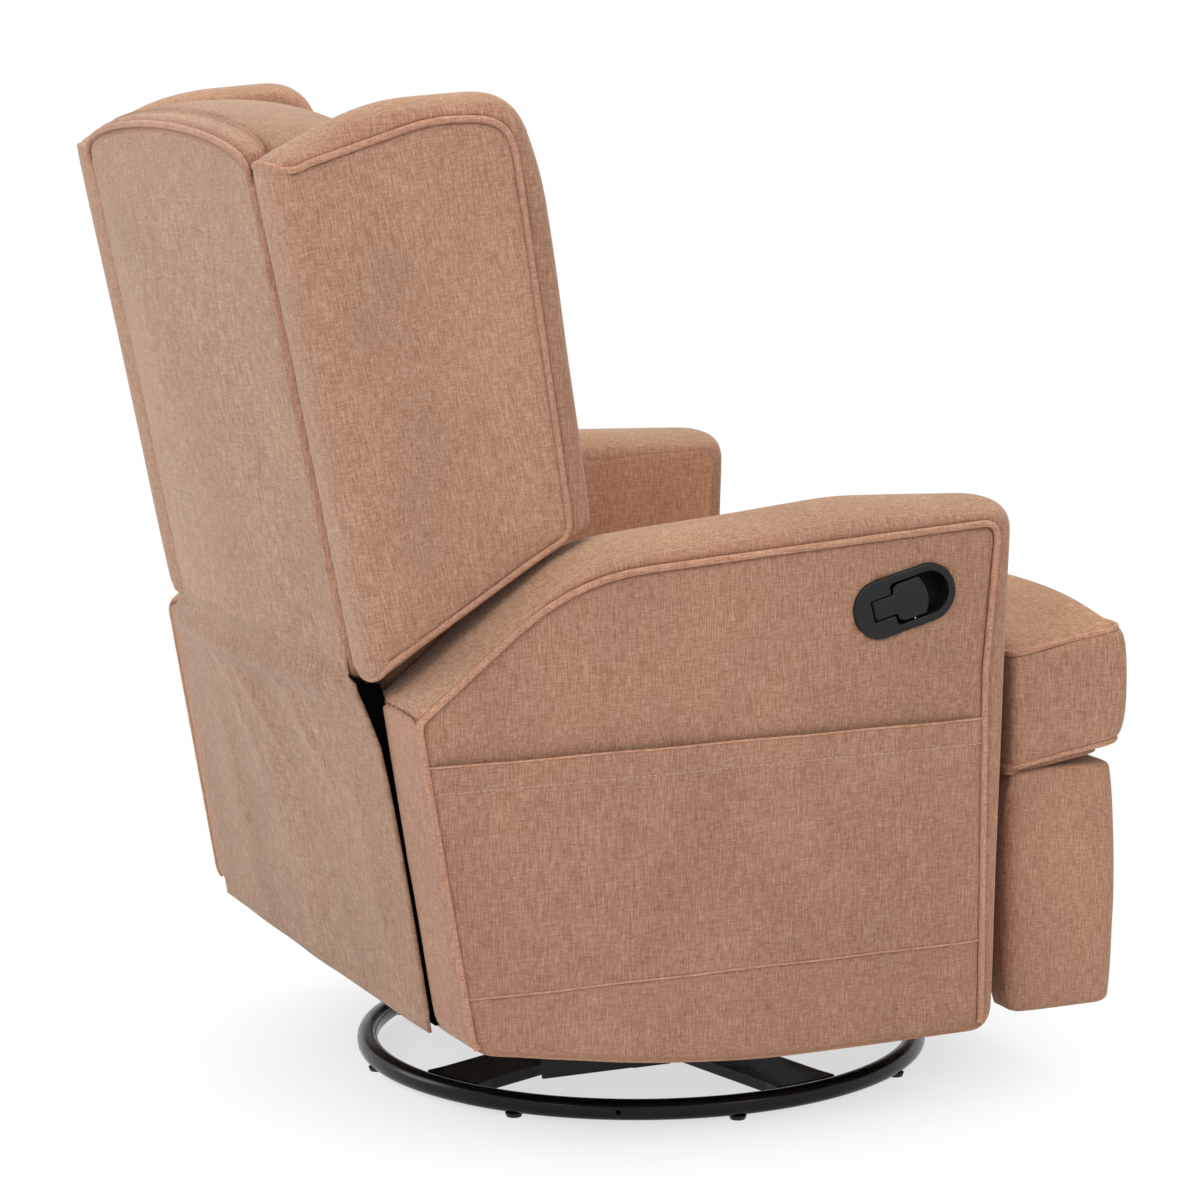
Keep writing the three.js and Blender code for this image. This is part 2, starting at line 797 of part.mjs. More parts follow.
function makeRails() {
  const across = [-panelInnerX + contact, panelInnerX - contact];
  addPart('front_rail', block(
    across,
    [frontRail.frontY, frontRail.frontY + frontRail.depth],
    [frontRailBottomZ, frontRailTopZ],
  ), wood);
  addPart('rear_rail', block(
    across,
    [rearRail.frontY, rearRail.frontY + rearRail.depth],
    [rearRail.bottomZ, rearRail.bottomZ + rearRail.height],
  ), wood);
  const rearY = lowRailRearY();
  addPart('low_rear_rail', block(
    [-arm.innerX + contact, arm.innerX - contact],
    [rearY - lowRail.depth, rearY],
    [lowRail.bottomZ, lowRail.bottomZ + lowRail.height],
  ), wood);
}

function makeSprings() {
  const y0 = frontRail.frontY + frontRail.depth + contact + spring.wireRadius;
  const y1 = rearRail.frontY - contact - spring.wireRadius;
  const drop = contact + spring.wireRadius;
  spring.offsets.forEach((x, index) => {
    const steps = spring.waves * spring.stepsPerWave;
    const points = Array.from({ length: steps + 1 }, (_, step) => {
      const share = step / steps;
      const y = y0 + (y1 - y0) * share;
      const sway = spring.amplitude * Math.sin(2 * Math.PI * spring.waves * share);
      return new THREE.Vector3(x + sway, y, cushionBottom(y) - drop);
    });
    const curve = new THREE.CatmullRomCurve3(points);
    addPart(`seat_spring_${index + 1}`, tube(curve, spring.wireRadius, steps, spring.sides), springSteel);
  });
}

function makePlatform() {
  const front = seat.frontY + platform.frontInset;
  const side = seat.earHalfWidth - platform.sideInset;
  const tongue = panelInnerX - contact;
  const armFront = arm.frontY - seat.earRearGap;
  const shape = new THREE.Shape([
    [-side, front],
    [side, front],
    [side, armFront],
    [tongue, armFront],
    [tongue, frontRail.frontY - contact],
    [-tongue, frontRail.frontY - contact],
    [-tongue, armFront],
    [-side, armFront],
  ].map(([x, y]) => new THREE.Vector2(x, y)));
  const geometry = new THREE.ExtrudeGeometry(shape, { depth: platform.thickness, bevelEnabled: false });
  const positions = geometry.attributes.position;
  for (let index = 0; index < positions.count; index += 1) {
    const z = positions.getZ(index) - platform.thickness + cushionBottom(positions.getY(index)) - contact;
    positions.setZ(index, z);
  }
  addPart('seat_platform', geometry, fabric);
}

// Seat cushion: T-shaped, with ears in front of the arms

function makeSeatCushion() {
  const tongue = arm.innerX - seat.sideGap;
  const earRear = arm.frontY - seat.earRearGap;
  const corners = (grow, pull) => {
    const side = seat.earHalfWidth - grow;
    const front = seat.frontY + grow;
    const back = seat.rearY - grow;
    const neck = tongue - grow / 2;
    const ear = earRear - grow / 2;
    const half = [
      [side - pull, (front + ear) / 2, seat.sideRadius],
      [side, ear, seat.sideBulge],
      [neck, ear, seat.sideBulge],
      [neck - pull / 2, (ear + back) / 2, seat.bowRadius],
      [neck, back, seat.rearCornerRadius],
    ];
    const right = [[side, front, seat.frontCornerRadius], ...half, [0, back - pull / 2, seat.bowRadius]];
    const left = [...[...half].reverse(), [side, front, seat.frontCornerRadius]].map(([x, y, r]) => [-x, y, r]);
    return [...right, ...left, [0, front + pull, seat.frontBowRadius]];
  };
  const crest = roundedOutline(corners(0, contact), 3);
  const face = roundedOutline(corners(seat.sideBulge, seat.bow), 3);
  const midZ = seat.thickness / 2;
  addPart('seat_cushion', padded({
    crest,
    faces: [face, face],
    thickness: seat.thickness,
    crowns: [seat.crown, 0],
    centre: [0, (seat.frontY + earRear) / 2],
    place: (x, y, w) => [x, y, cushionBottom(y) + midZ + w],
    crownPower: 3.5,
  }), fabric);
}

// Upholstered arms

function armPoint([along, up, radius]) {
  return [arm.frontY + along * arm.length, arm.bottomZ + up * arm.height, radius * arm.height];
}

const armOuterX = arm.innerX + arm.thickness;

function makeArmSolid() {
  const middleX = arm.innerX + arm.thickness / 2;
  return padded({
    crest: roundedOutline(armCrestShares.map(armPoint), 4),
    faces: [roundedOutline(armFaceShares.map(armPoint), 4), roundedOutline(armFaceShares.map(armPoint), 4)],
    thickness: arm.thickness,
    crowns: [arm.faceCrown, 0],
    centre: [arm.frontY + arm.length * arm.centreShare, arm.bottomZ + arm.height * arm.centreShare],
    place: (y, z, w) => [middleX + w, y, z],
    ringShares: [0.75],
    crownPower: 6,
  });
}

// Places on the handle: along the bezel from its rear end, across it, and out from the arm
const tilt = THREE.MathUtils.degToRad(bezel.tiltDegrees);
const bezelFaceX = -(armOuterX + arm.faceCrown);
const bezelLength = bezel.capSpacing + 2 * bezel.capRadius;
const handleFrame = new THREE.Matrix4().makeBasis(
  new THREE.Vector3(0, -Math.cos(tilt), Math.sin(tilt)),
  new THREE.Vector3(0, Math.sin(tilt), Math.cos(tilt)),
  new THREE.Vector3(-1, 0, 0),
).setPosition(bezelFaceX, bezel.centreY, bezel.centreZ);

// A slab on the handle with its outline in places along and across, between two depths
function handleSlab(points, out0, out1) {
  const shape = new THREE.Shape(points.map(([along, across]) => new THREE.Vector2(along, across)));
  const geometry = new THREE.ExtrudeGeometry(shape, { depth: out1 - out0, bevelEnabled: false });
  return geometry.translate(0, 0, out0).applyMatrix4(handleFrame);
}

function stadium(radius, spacing) {
  return barOutline([-spacing / 2, 0], [spacing / 2, 0], radius, 10);
}

// From the underside of the handle's cup, down inside the arm and across to the side plate
function cablePath(lift) {
  const outerX = bezelFaceX + bezel.depth / 2;
  const cupBottomZ = bezel.centreZ - (bezel.capRadius - bezel.lip) / Math.cos(tilt);
  const startZ = cupBottomZ - cable.radius * Math.tan(tilt) - contact + lift;
  const endX = -(sidePlate.innerX + sidePlate.gauge + contact);
  const path = new THREE.CurvePath();
  const top = new THREE.Vector3(outerX, bezel.centreY, startZ);
  const bendStart = new THREE.Vector3(outerX, bezel.centreY, cable.dropZ + cable.bend);
  const corner = new THREE.Vector3(outerX, bezel.centreY, cable.dropZ);
  const bendEnd = new THREE.Vector3(outerX + cable.bend, bezel.centreY, cable.dropZ);
  const end = new THREE.Vector3(endX, bezel.centreY, cable.dropZ);
  path.add(new THREE.LineCurve3(top, bendStart));
  path.add(new THREE.QuadraticBezierCurve3(bendStart, corner, bendEnd));
  path.add(new THREE.LineCurve3(bendEnd, end));
  return path;
}

const pocketFaceX = -(armOuterX + arm.faceCrown + pocket.proud);
const pocketInnerX = pocketFaceX + pocket.gauge;
const pocketFloorX = pocketInnerX + pocket.depth;

// The arm's outer panel at a height: where the piping is at the front and at the rear
function panelFront(z) {
  const [bottom, top] = armFaceShares.map(armPoint);
  return bottom[0] + (top[0] - bottom[0]) * (z - bottom[1]) / (top[1] - bottom[1]);
}

function panelRear(z) {
  const [, , , , , top, bottom] = armFaceShares.map(armPoint);
  return bottom[0] + (top[0] - bottom[0]) * (z - bottom[1]) / (top[1] - bottom[1]);
}

function pocketOutline(inset, topZ) {
  const z0 = pocket.bottomZ + inset;
  return [
    [panelFront(z0) + pocket.frontGap + inset, z0],
    [panelRear(z0) - pocket.rearGap - inset, z0],
    [panelRear(topZ) - pocket.rearGap - inset, topZ],
    [panelFront(topZ) + pocket.frontGap + inset, topZ],
  ];
}

function makeArms() {
  const left = makeArmSolid();
  addPart('arm_left', left, fabric);
  const cup = handleSlab(
    stadium(bezel.capRadius - bezel.lip + contact, bezel.capSpacing),
    -bezel.depth - contact,
    bezel.proud + overrun,
  );
  const seatOfFlange = handleSlab(
    stadium(bezel.capRadius + contact, bezel.capSpacing),
    -arm.faceCrown - contact,
    bezel.proud + overrun,
  );
  const tunnel = tube(cablePath(bezel.lip), cable.radius + cable.tunnel, cable.steps, cable.sides);
  // The recess runs on above the pocket's hem, so that the pocket has a mouth
  const recess = plate(
    pocketOutline(0, pocket.topZ + pocket.mouth),
    pocketFaceX - overrun,
    pocketFloorX,
  );
  addPart('arm_right', cut(mirrored(left), cup, seatOfFlange, tunnel, recess), fabric);
}

// Side pocket: a sheet joined to the arm along its sides and bottom, open at the top

function makePocket() {
  const sheet = plate(
    pocketOutline(contact, pocket.topZ - contact),
    pocketFaceX,
    pocketInnerX,
  );
  const rim = cut(
    plate(pocketOutline(contact, pocket.topZ - contact), pocketInnerX - pocket.gauge / 2, pocketFloorX - contact),
    plate(pocketOutline(pocket.seam, pocket.topZ + overrun), pocketInnerX, pocketFloorX + overrun),
  );
  addPart('side_pocket', join(sheet, rim), fabric);
}

// Release handle: cup with a T-shaped mouth, sprung lever, its pin and the cable

const handleRear = -bezelLength / 2;
const leverTop = bezel.proud - lever.sink;
const barrelRadius = lever.pinDepth + leverTop;

function mouthOutline() {
  const radius = bezel.capRadius - bezel.rim;
  const slot = bezel.slotHalfWidth;
  const slotRear = handleRear + lever.pinFromRear - barrelRadius - lever.gap;
  const rearCorner = handleRear + bezel.mouthRear;
  const shoulder = radius * bezel.shoulderWidthShare;
  const shoulderEnd = rearCorner + radius * bezel.shoulderLengthShare;
  const points = [[slotRear, -slot], [rearCorner, -slot], [rearCorner, -shoulder], [shoulderEnd, -radius]];
  for (let step = 0; step <= 10; step += 1) {
    const angle = -Math.PI / 2 + Math.PI * step / 10;
    points.push([bezel.capSpacing / 2 + radius * Math.cos(angle), radius * Math.sin(angle)]);
  }
  points.push([shoulderEnd, radius], [rearCorner, shoulder], [rearCorner, slot], [slotRear, slot]);
  return points;
}

// The lever's outline: a narrow neck from the pivot, then the wide paddle
function leverOutline() {
  const pivot = handleRear + lever.pinFromRear;
  const neck = bezel.slotHalfWidth - lever.gap;
  const shoulder = handleRear + bezel.mouthRear + 2 * lever.gap;
  const front = handleRear + lever.length;
  const wide = lever.paddleHalfWidth;
  const half = [
    [pivot, neck],
    [shoulder, neck],
    ...paddleShoulderShares.map(([ahead, across]) => [shoulder + lever.gap + ahead * wide, across * wide]),
    ...paddleFrontShares.map(([behind, across]) => [front - behind * wide, across * wide]),
  ];
  return [...half, [front, 0], ...[...half].reverse().map(([along, across]) => [along, -across])];
}

// A cylinder across the handle at the lever's pivot
function acrossHandle(radius, across0, across1, segments) {
  const geometry = new THREE.CylinderGeometry(radius, radius, across1 - across0, segments);
  geometry.translate(0, (across0 + across1) / 2, 0);
  geometry.translate(handleRear + lever.pinFromRear, 0, -lever.pinDepth);
  return geometry.applyMatrix4(handleFrame);
}

function makeHandle() {
  const cupRadius = bezel.capRadius - bezel.lip;
  const inside = cupRadius - bezel.wall;
  const flange = handleSlab(stadium(bezel.capRadius, bezel.capSpacing), -arm.faceCrown, bezel.proud);
  const cup = handleSlab(stadium(cupRadius, bezel.capSpacing), -bezel.depth, 0);
  const hollow = handleSlab(
    stadium(inside, bezel.capSpacing),
    -bezel.depth + bezel.wall,
    bezel.proud - bezel.face,
  );
  const mouth = handleSlab(mouthOutline(), -bezel.face - bezel.wall, bezel.proud + overrun);
  addPart('handle_bezel', cut(join(flange, cup), hollow, mouth), blackPlastic);

  const paddle = handleSlab(leverOutline(), leverTop - lever.thickness, leverTop);
  const half = bezel.slotHalfWidth - lever.gap;
  const barrel = acrossHandle(barrelRadius, -half, half, 24);
  const bore = acrossHandle(lever.pinRadius + studClearance, -half - overrun, half + overrun, pinSegments);
  addPart('handle_lever', cut(join(paddle, barrel), bore), blackPlastic);
  const pinEnd = inside - 2 * contact;
  addPart('handle_pin', acrossHandle(lever.pinRadius, -pinEnd, pinEnd, 12), zincSteel);

  const wire = leverSpring.wireRadius;
  const coilRadius = lever.pinRadius + contact + wire;
  const steps = leverSpring.turns * leverSpring.stepsPerTurn;
  const coil = Array.from({ length: steps + 1 }, (_, step) => {
    const angle = 2 * Math.PI * step / leverSpring.stepsPerTurn;
    return new THREE.Vector3(
      handleRear + lever.pinFromRear + coilRadius * Math.cos(angle),
      half + contact + wire + leverSpring.length * step / steps,
      -lever.pinDepth + coilRadius * Math.sin(angle),
    ).applyMatrix4(handleFrame);
  });
  const coilCurve = new THREE.CatmullRomCurve3(coil);
  addPart('handle_spring', tube(coilCurve, wire, steps, leverSpring.sides), springSteel);
  addPart('release_cable', tube(cablePath(0), cable.radius, cable.steps, cable.sides), blackPlastic);
}

// Recliner side plates

const plateInnerX = sidePlate.innerX;
const plateOuterX = sidePlate.innerX + sidePlate.gauge;
const bracketX = plateOuterX + running;
const bracketOuterX = bracketX + backBracket.gauge;

function makeSidePlates() {
  const pad = sidePlate.padRadius;
  const rearTop = rearRail.bottomZ - contact;
  const outline = [
    [frontRail.frontY, frontRailBottomZ - contact],
    [frontRail.frontY, frontRailBottomZ - frontRail.height],
    [rest.pivotY, sidePlate.bottomZ],
    [rearRail.frontY, sidePlate.bottomZ],
    [recline.pivotY + pad, recline.pivotZ - 2 * pad],
    [recline.pivotY + pad, recline.pivotZ + pad / 2],
    [recline.pivotY + pad / 2, recline.pivotZ + pad],
    [recline.pivotY - pad / 2, recline.pivotZ + pad],
    [recline.pivotY - pad, recline.pivotZ + pad / 2],
    [rearRail.frontY + rearRail.depth + contact, rearTop],
    [seat.rearY / 2, Math.min(cushionBottom(seat.rearY), rearTop) - sidePlate.springClearance],
    [frontRail.frontY + sidePlate.frontReach, frontRailBottomZ - contact],
  ];
  const legStud = stud(
    plateOuterX,
    rest.outerX - rest.gauge - running - rest.headHeight,
    rest.pivotY,
    rest.pivotZ,
    rest.studRadius,
    rest.headRadius,
    rest.headHeight,
  );
  const backStud = stud(
    plateInnerX,
    bracketOuterX + running + recline.headHeight,
    recline.pivotY,
    recline.pivotZ,
    recline.studRadius,
    recline.headRadius,
    recline.headHeight,
  );
  const whole = join(plate(outline, plateInnerX, plateOuterX), legStud, backStud);
  addPart('recliner_plate_left', whole, blackSteel);
  addPart('recliner_plate_right', onSide(-1, whole), blackSteel);
}

// Footrest linkage and footrest

const restClosed = Math.acos((rest.pivotY - rest.frontPivotY) / (2 * rest.barLength));
const elbowY = rest.pivotY - rest.barLength * Math.cos(restClosed);
const elbowZ = rest.pivotZ - rest.barLength * Math.sin(restClosed);
const secondOuterX = rest.outerX - rest.gauge - running;

function makeFootLinks() {
  const first = [rest.pivotY, rest.pivotZ];
  const elbow = [elbowY, elbowZ];
  const front = [rest.frontPivotY, rest.pivotZ];
  const hole = rest.studRadius + studClearance;
  const half = rest.barWidth / 2;
  const studEnd = secondOuterX - rest.gauge - running - rest.headHeight;
  // A round tube across the chair carries the two bars of each pair
  const lowerBar = join(
    plate(barOutline(first, elbow, half), rest.outerX - rest.gauge, rest.outerX, [circle(...first, hole)]),
    stud(rest.outerX, studEnd, ...elbow, rest.studRadius, rest.headRadius, rest.headHeight),
  );
  const lowerEnd = rest.outerX - rest.gauge / 2;
  const lowerY = (first[0] * 2 + elbow[0]) / 3;
  const lowerZ = (first[1] * 2 + elbow[1]) / 3;
  const lowerTube = axle(-lowerEnd, lowerEnd, lowerY, lowerZ, rest.tubeRadius, 14);
  addPart('foot_link_lower', join(lowerBar, mirrored(lowerBar), lowerTube), blackSteel);
  const upperBar = plate(
    barOutline(elbow, front, half),
    secondOuterX - rest.gauge,
    secondOuterX,
    [circle(...elbow, hole), circle(...front, hole)],
  );
  const upperEnd = secondOuterX - rest.gauge / 2;
  const upperY = (front[0] + elbow[0]) / 2;
  const upperZ = (front[1] + elbow[1]) / 2;
  const upperTube = axle(-upperEnd, upperEnd, upperY, upperZ, rest.tubeRadius, 14);
  addPart('foot_link_upper', join(upperBar, mirrored(upperBar), upperTube), blackSteel);
}

const footBoardY = footPad.frontY + footPad.thickness + contact;

function makeFootrest() {
  const middleY = footPad.frontY + footPad.thickness / 2;
  const middleZ = (footPad.bottomZ + footPad.topZ) / 2;
  const rectangle = (inset, radius) => roundedOutline([
    [-footPad.halfWidth + inset, footPad.bottomZ + inset, radius],
    [footPad.halfWidth - inset, footPad.bottomZ + inset, radius],
    [footPad.halfWidth - inset, footPad.topZ - inset, radius],
    [-footPad.halfWidth + inset, footPad.topZ - inset, radius],
  ], 4, 4);
  addPart('footrest_pad', padded({
    crest: rectangle(0, footPad.cornerRadius),
    faces: [
      rectangle(footPad.edge, footPad.cornerRadius),
      rectangle(footPad.rearEdge, footPad.cornerRadius),
    ],
    thickness: footPad.thickness,
    crowns: [footPad.crown, 0],
    centre: [0, middleZ],
    place: (x, z, w) => [x, middleY - w, z],
    ringShares: [0.6, 0.85],
    crownPower: 4,
  }), fabric);

  const boardX = footPad.halfWidth - footBoard.sideInset;
  const boardRearY = footBoardY + footBoard.gauge;
  addPart('footrest_board', block(
    [-boardX, boardX],
    [footBoardY, boardRearY],
    [footPad.bottomZ + footBoard.endInset, footPad.topZ - footBoard.endInset],
  ), wood);

  const sideX = footPad.halfWidth - footSide.thickness / 2;
  const frontY = boardRearY + contact;
  const sideOutline = inset => roundedOutline([
    [frontY, footPad.bottomZ + inset, footSide.cornerRadius / 2],
    [footSide.rearY - inset, footPad.bottomZ + inset, footSide.cornerRadius],
    [footSide.rearY - inset, footPad.topZ - footSide.topDrop - inset, footSide.cornerRadius],
    [frontY, footPad.topZ - footSide.topDrop - inset, footSide.cornerRadius / 2],
  ], 3, 1);
  const cheek = padded({
    crest: sideOutline(0),
    faces: [sideOutline(footSide.edge), sideOutline(footSide.edge)],
    thickness: footSide.thickness,
    crowns: [footSide.crown, 0],
    centre: [(frontY + footSide.rearY) / 2, middleZ],
    place: (y, z, w) => [sideX + w - footSide.crown, y, z],
    edgeSteps: 2,
    ringShares: [0.7],
  });
  addPart('footrest_side_left', cheek, fabric);
  addPart('footrest_side_right', mirrored(cheek), fabric);

  const half = rest.barWidth / 2;
  const flangeY = boardRearY + contact;
  const ear = plate([
    [flangeY, rest.pivotZ - footBracket.height],
    [rest.frontPivotY, rest.pivotZ - half],
    [rest.frontPivotY + half * footBracket.noseLengthShare, rest.pivotZ - half * footBracket.noseHeightShare],
    [rest.frontPivotY + half * footBracket.noseLengthShare, rest.pivotZ + half * footBracket.noseHeightShare],
    [rest.frontPivotY, rest.pivotZ + half],
    [flangeY, rest.pivotZ + half],
  ], rest.outerX - footBracket.gauge, rest.outerX);
  const flange = block(
    [rest.outerX - footBracket.gauge, rest.outerX + footBracket.flange],
    [flangeY, flangeY + footBracket.gauge],
    [rest.pivotZ - footBracket.height, rest.pivotZ + half],
  );
  const pin = stud(
    rest.outerX,
    secondOuterX - rest.gauge - running - rest.headHeight,
    rest.frontPivotY,
    rest.pivotZ,
    rest.studRadius,
    rest.headRadius,
    rest.headHeight,
  );
  const bracket = join(ear, flange, pin);
  addPart('footrest_bracket_left', bracket, blackSteel);
  addPart('footrest_bracket_right', onSide(-1, bracket), blackSteel);
}

// Back: everything follows the line of its rear seams, which leans back

function rearLine(z) {
  return back.rearY + back.lean * (z - back.bottomZ);
}

function leaning(geometry) {
  const positions = geometry.attributes.position;
  for (let index = 0; index < positions.count; index += 1) {
    positions.setY(index, positions.getY(index) + rearLine(positions.getZ(index)));
  }
  return geometry;
}

function makeBackPanel() {
  const arch = (inset, rise) => {
    const half = back.halfWidth - inset;
    const points = [[-half, back.bottomZ + inset], [0, back.bottomZ + inset], [half, back.bottomZ + inset]];
    for (let step = 1; step <= 4; step += 1) {
      points.push([half, back.bottomZ + inset + (back.seamTopZ - back.bottomZ - inset) * step / 4]);
    }
    for (let step = 1; step < 12; step += 1) {
      const x = half * Math.cos(Math.PI * step / 12);
      points.push([x, back.seamTopZ - inset + rise * Math.sqrt(Math.max(0, 1 - (x / half) ** 2))]);
    }
    for (let step = 4; step >= 1; step -= 1) {
      points.push([-half, back.bottomZ + inset + (back.seamTopZ - back.bottomZ - inset) * step / 4]);
    }
    return points;
  };
  const middle = -back.panelThickness / 2;
  addPart('back_panel', padded({
    crest: arch(0, back.archRise),
    faces: [arch(back.panelEdge, back.archRise), arch(back.panelFrontEdge, back.archRise)],
    thickness: back.panelThickness,
    crowns: [back.panelCrown, 0],
    centre: [0, back.bottomZ + (back.seamTopZ - back.bottomZ) * back.panelCentreShare],
    place: (x, z, w) => [x, rearLine(z) + middle + w, z],
    edgeSteps: 2,
    crownPower: 3,
  }), fabric);
}

const frameRearOffset = -back.panelThickness - contact;
const frameFrontOffset = frameRearOffset - back.frameThickness;
const frameTopZ = back.seamTopZ - backFrame.topInset;

// Two posts and two rails, each larger than the piece itself by a clearance. The posts
// reach out to a plane of x, and down to a height.
function backFrameSolid(clear, postOuterX, postBottomZ) {
  const innerX = bracketX - contact - backFrame.postWidth;
  const depth = [frameFrontOffset - clear, frameRearOffset + clear];
  const post = leaning(block([innerX - clear, postOuterX + clear], depth, [postBottomZ, frameTopZ + clear]));
  const across = [-innerX - overrun, innerX + overrun];
  const rail = z => leaning(block(across, depth, [z - clear, z + backFrame.railHeight + clear]));
  return join(post, mirrored(post), rail(frameTopZ - backFrame.railHeight), rail(back.bottomZ));
}

function makeBackFrame() {
  addPart('back_frame', backFrameSolid(0, bracketX - contact, back.padBottomZ), wood);

  const bracketTop = recline.pivotZ + backBracket.height;
  const rearAt = z => rearLine(z) + frameRearOffset;
  const bracket = plate([
    ...bracketFootShares.map(([y, z]) => [
      recline.pivotY + y * backBracket.width,
      recline.pivotZ + z * backBracket.width,
    ]),
    [rearAt(back.bottomZ), back.bottomZ],
    [rearAt(bracketTop), bracketTop],
    [rearAt(bracketTop) - backBracket.width, bracketTop],
    [rearAt(back.bottomZ) - backBracket.width, back.bottomZ],
    [recline.pivotY, recline.pivotZ + backBracket.width],
  ], bracketX, bracketOuterX, [circle(recline.pivotY, recline.pivotZ, recline.studRadius + studClearance)]);
  addPart('back_bracket_left', bracket, blackSteel);
  addPart('back_bracket_right', onSide(-1, bracket), blackSteel);
}

function makeBackPad() {
  const depth = back.padDepth;
  const rearOffset = -back.panelThickness - contact;
  const outline = inset => {
    const half = back.halfWidth - wing.gap / 2 - inset;
    const bottom = back.padBottomZ + inset;
    const shoulder = back.padShoulderZ - inset;
    const points = [[-half, bottom], [-half / 2, bottom], [0, bottom], [half / 2, bottom], [half, bottom]];
    for (let step = 1; step <= 4; step += 1) points.push([half, bottom + (shoulder - bottom) * step / 4]);
    for (let step = 1; step < 12; step += 1) {
      const x = half * Math.cos(Math.PI * step / 12);
      const rise = (back.padTopZ - back.padShoulderZ) * Math.sqrt(Math.max(0, 1 - (x / half) ** 2));
      points.push([x, shoulder + rise]);
    }
    for (let step = 4; step >= 1; step -= 1) points.push([-half, bottom + (shoulder - bottom) * step / 4]);
    return points;
  };
  const middle = rearOffset - depth / 2;
  const pad = padded({
    crest: outline(0),
    faces: [outline(back.padEdge), outline(back.padEdge / 2)],
    thickness: depth,
    crowns: [back.padCrown, 0],
    centre: [0, (back.padBottomZ + back.padTopZ) / 2],
    place: (x, z, w) => [x, rearLine(z) + middle - w, z],
    crownPower: 3,
  });
  const recess = backFrameSolid(backFrame.recessClearance, bracketOuterX, back.padBottomZ - overrun);
  addPart('back_pad', cut(pad, recess), fabric);
}

function makeWings() {
  const innerX = back.halfWidth + wing.gap;
  const middleX = innerX + wing.thickness / 2;
  const toPoint = ([ahead, up, radius]) => {
    const z = wing.bottomZ + wing.height * up;
    return [rearLine(z) - wing.length * ahead, z, radius * wing.height];
  };
  const outline = shares => roundedOutline(shares.map(toPoint), 4, 1);
  const solid = padded({
    crest: outline(wingCrestShares),
    faces: [outline(wingFaceShares), outline(wingInnerShares)],
    thickness: wing.thickness,
    crowns: [wing.faceCrown, 0],
    centre: [
      rearLine(wing.bottomZ + wing.height / 2) - wing.length / 2,
      wing.bottomZ + wing.height * wing.centreShare,
    ],
    place: (y, z, w) => [middleX + w, y, z],
    ringShares: [0.75],
    crownPower: 4,
  });
  addPart('wing_left', solid, fabric);
  addPart('wing_right', mirrored(solid), fabric);
}

// Lower back flap: cloth that hangs from the back's lower edge to the low rear rail

function flapInnerY(x, z) {
  const rearBottom = armPoint(armFaceShares[6]);
  const plane = rearBottom[0] + rearLean * (z - rearBottom[1]) + flap.standOff;
  const up = (z - flap.bottomZ) / (back.bottomZ - flap.bottomZ);
  const crown = flap.bottomCrown + (flap.topCrown - flap.bottomCrown) * up;
  return plane + crown * (1 - (x / flap.halfWidth) ** 2) + flap.flareDepth * up ** 5;
}

function makeFlap() {
  const columns = 12;
  const rows = 8;
  const topZ = back.bottomZ - flap.topGap;
  const sheet = new THREE.BoxGeometry(1, 1, 1, columns, 1, rows);
  const positions = sheet.attributes.position;
  for (let index = 0; index < positions.count; index += 1) {
    const x = positions.getX(index) * 2 * flap.halfWidth;
    const z = flap.bottomZ + (positions.getZ(index) + 0.5) * (topZ - flap.bottomZ);
    const through = (positions.getY(index) + 0.5) * flap.gauge;
    positions.setXYZ(index, x, flapInnerY(x, z) + through, z);
  }
  sheet.deleteAttribute('normal');
  sheet.deleteAttribute('uv');
  addPart('back_flap', facingOut(mergeVertices(sheet)), fabric);
}

makeBaseRing();
makeGlides();
makeBaseCross();
makeBearing();
makePivotBolt();
makeCarrier();
makeSwingLinks();
makeGlideRails();
makeSidePanels();
makeRails();
makeSprings();
makePlatform();
makeSeatCushion();
makeArms();
makePocket();
makeHandle();
makeSidePlates();
makeFootLinks();
makeFootrest();
makeBackPanel();
makeBackFrame();
makeBackPad();
makeWings();
makeFlap();

const extent = new THREE.Box3().setFromObject(chair);
const footprint = extent.getCenter(new THREE.Vector3());
chair.position.set(-footprint.x, -footprint.y, -extent.min.z);

export default chair;
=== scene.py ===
import json
from math import atan, copysign, cos, exp, pi, radians, sin, sqrt, tan
from types import SimpleNamespace as Sizes

import bmesh
import bpy
import numpy as np
from mathutils import Matrix, Vector, kdtree, noise
from mathutils.bvhtree import BVHTree


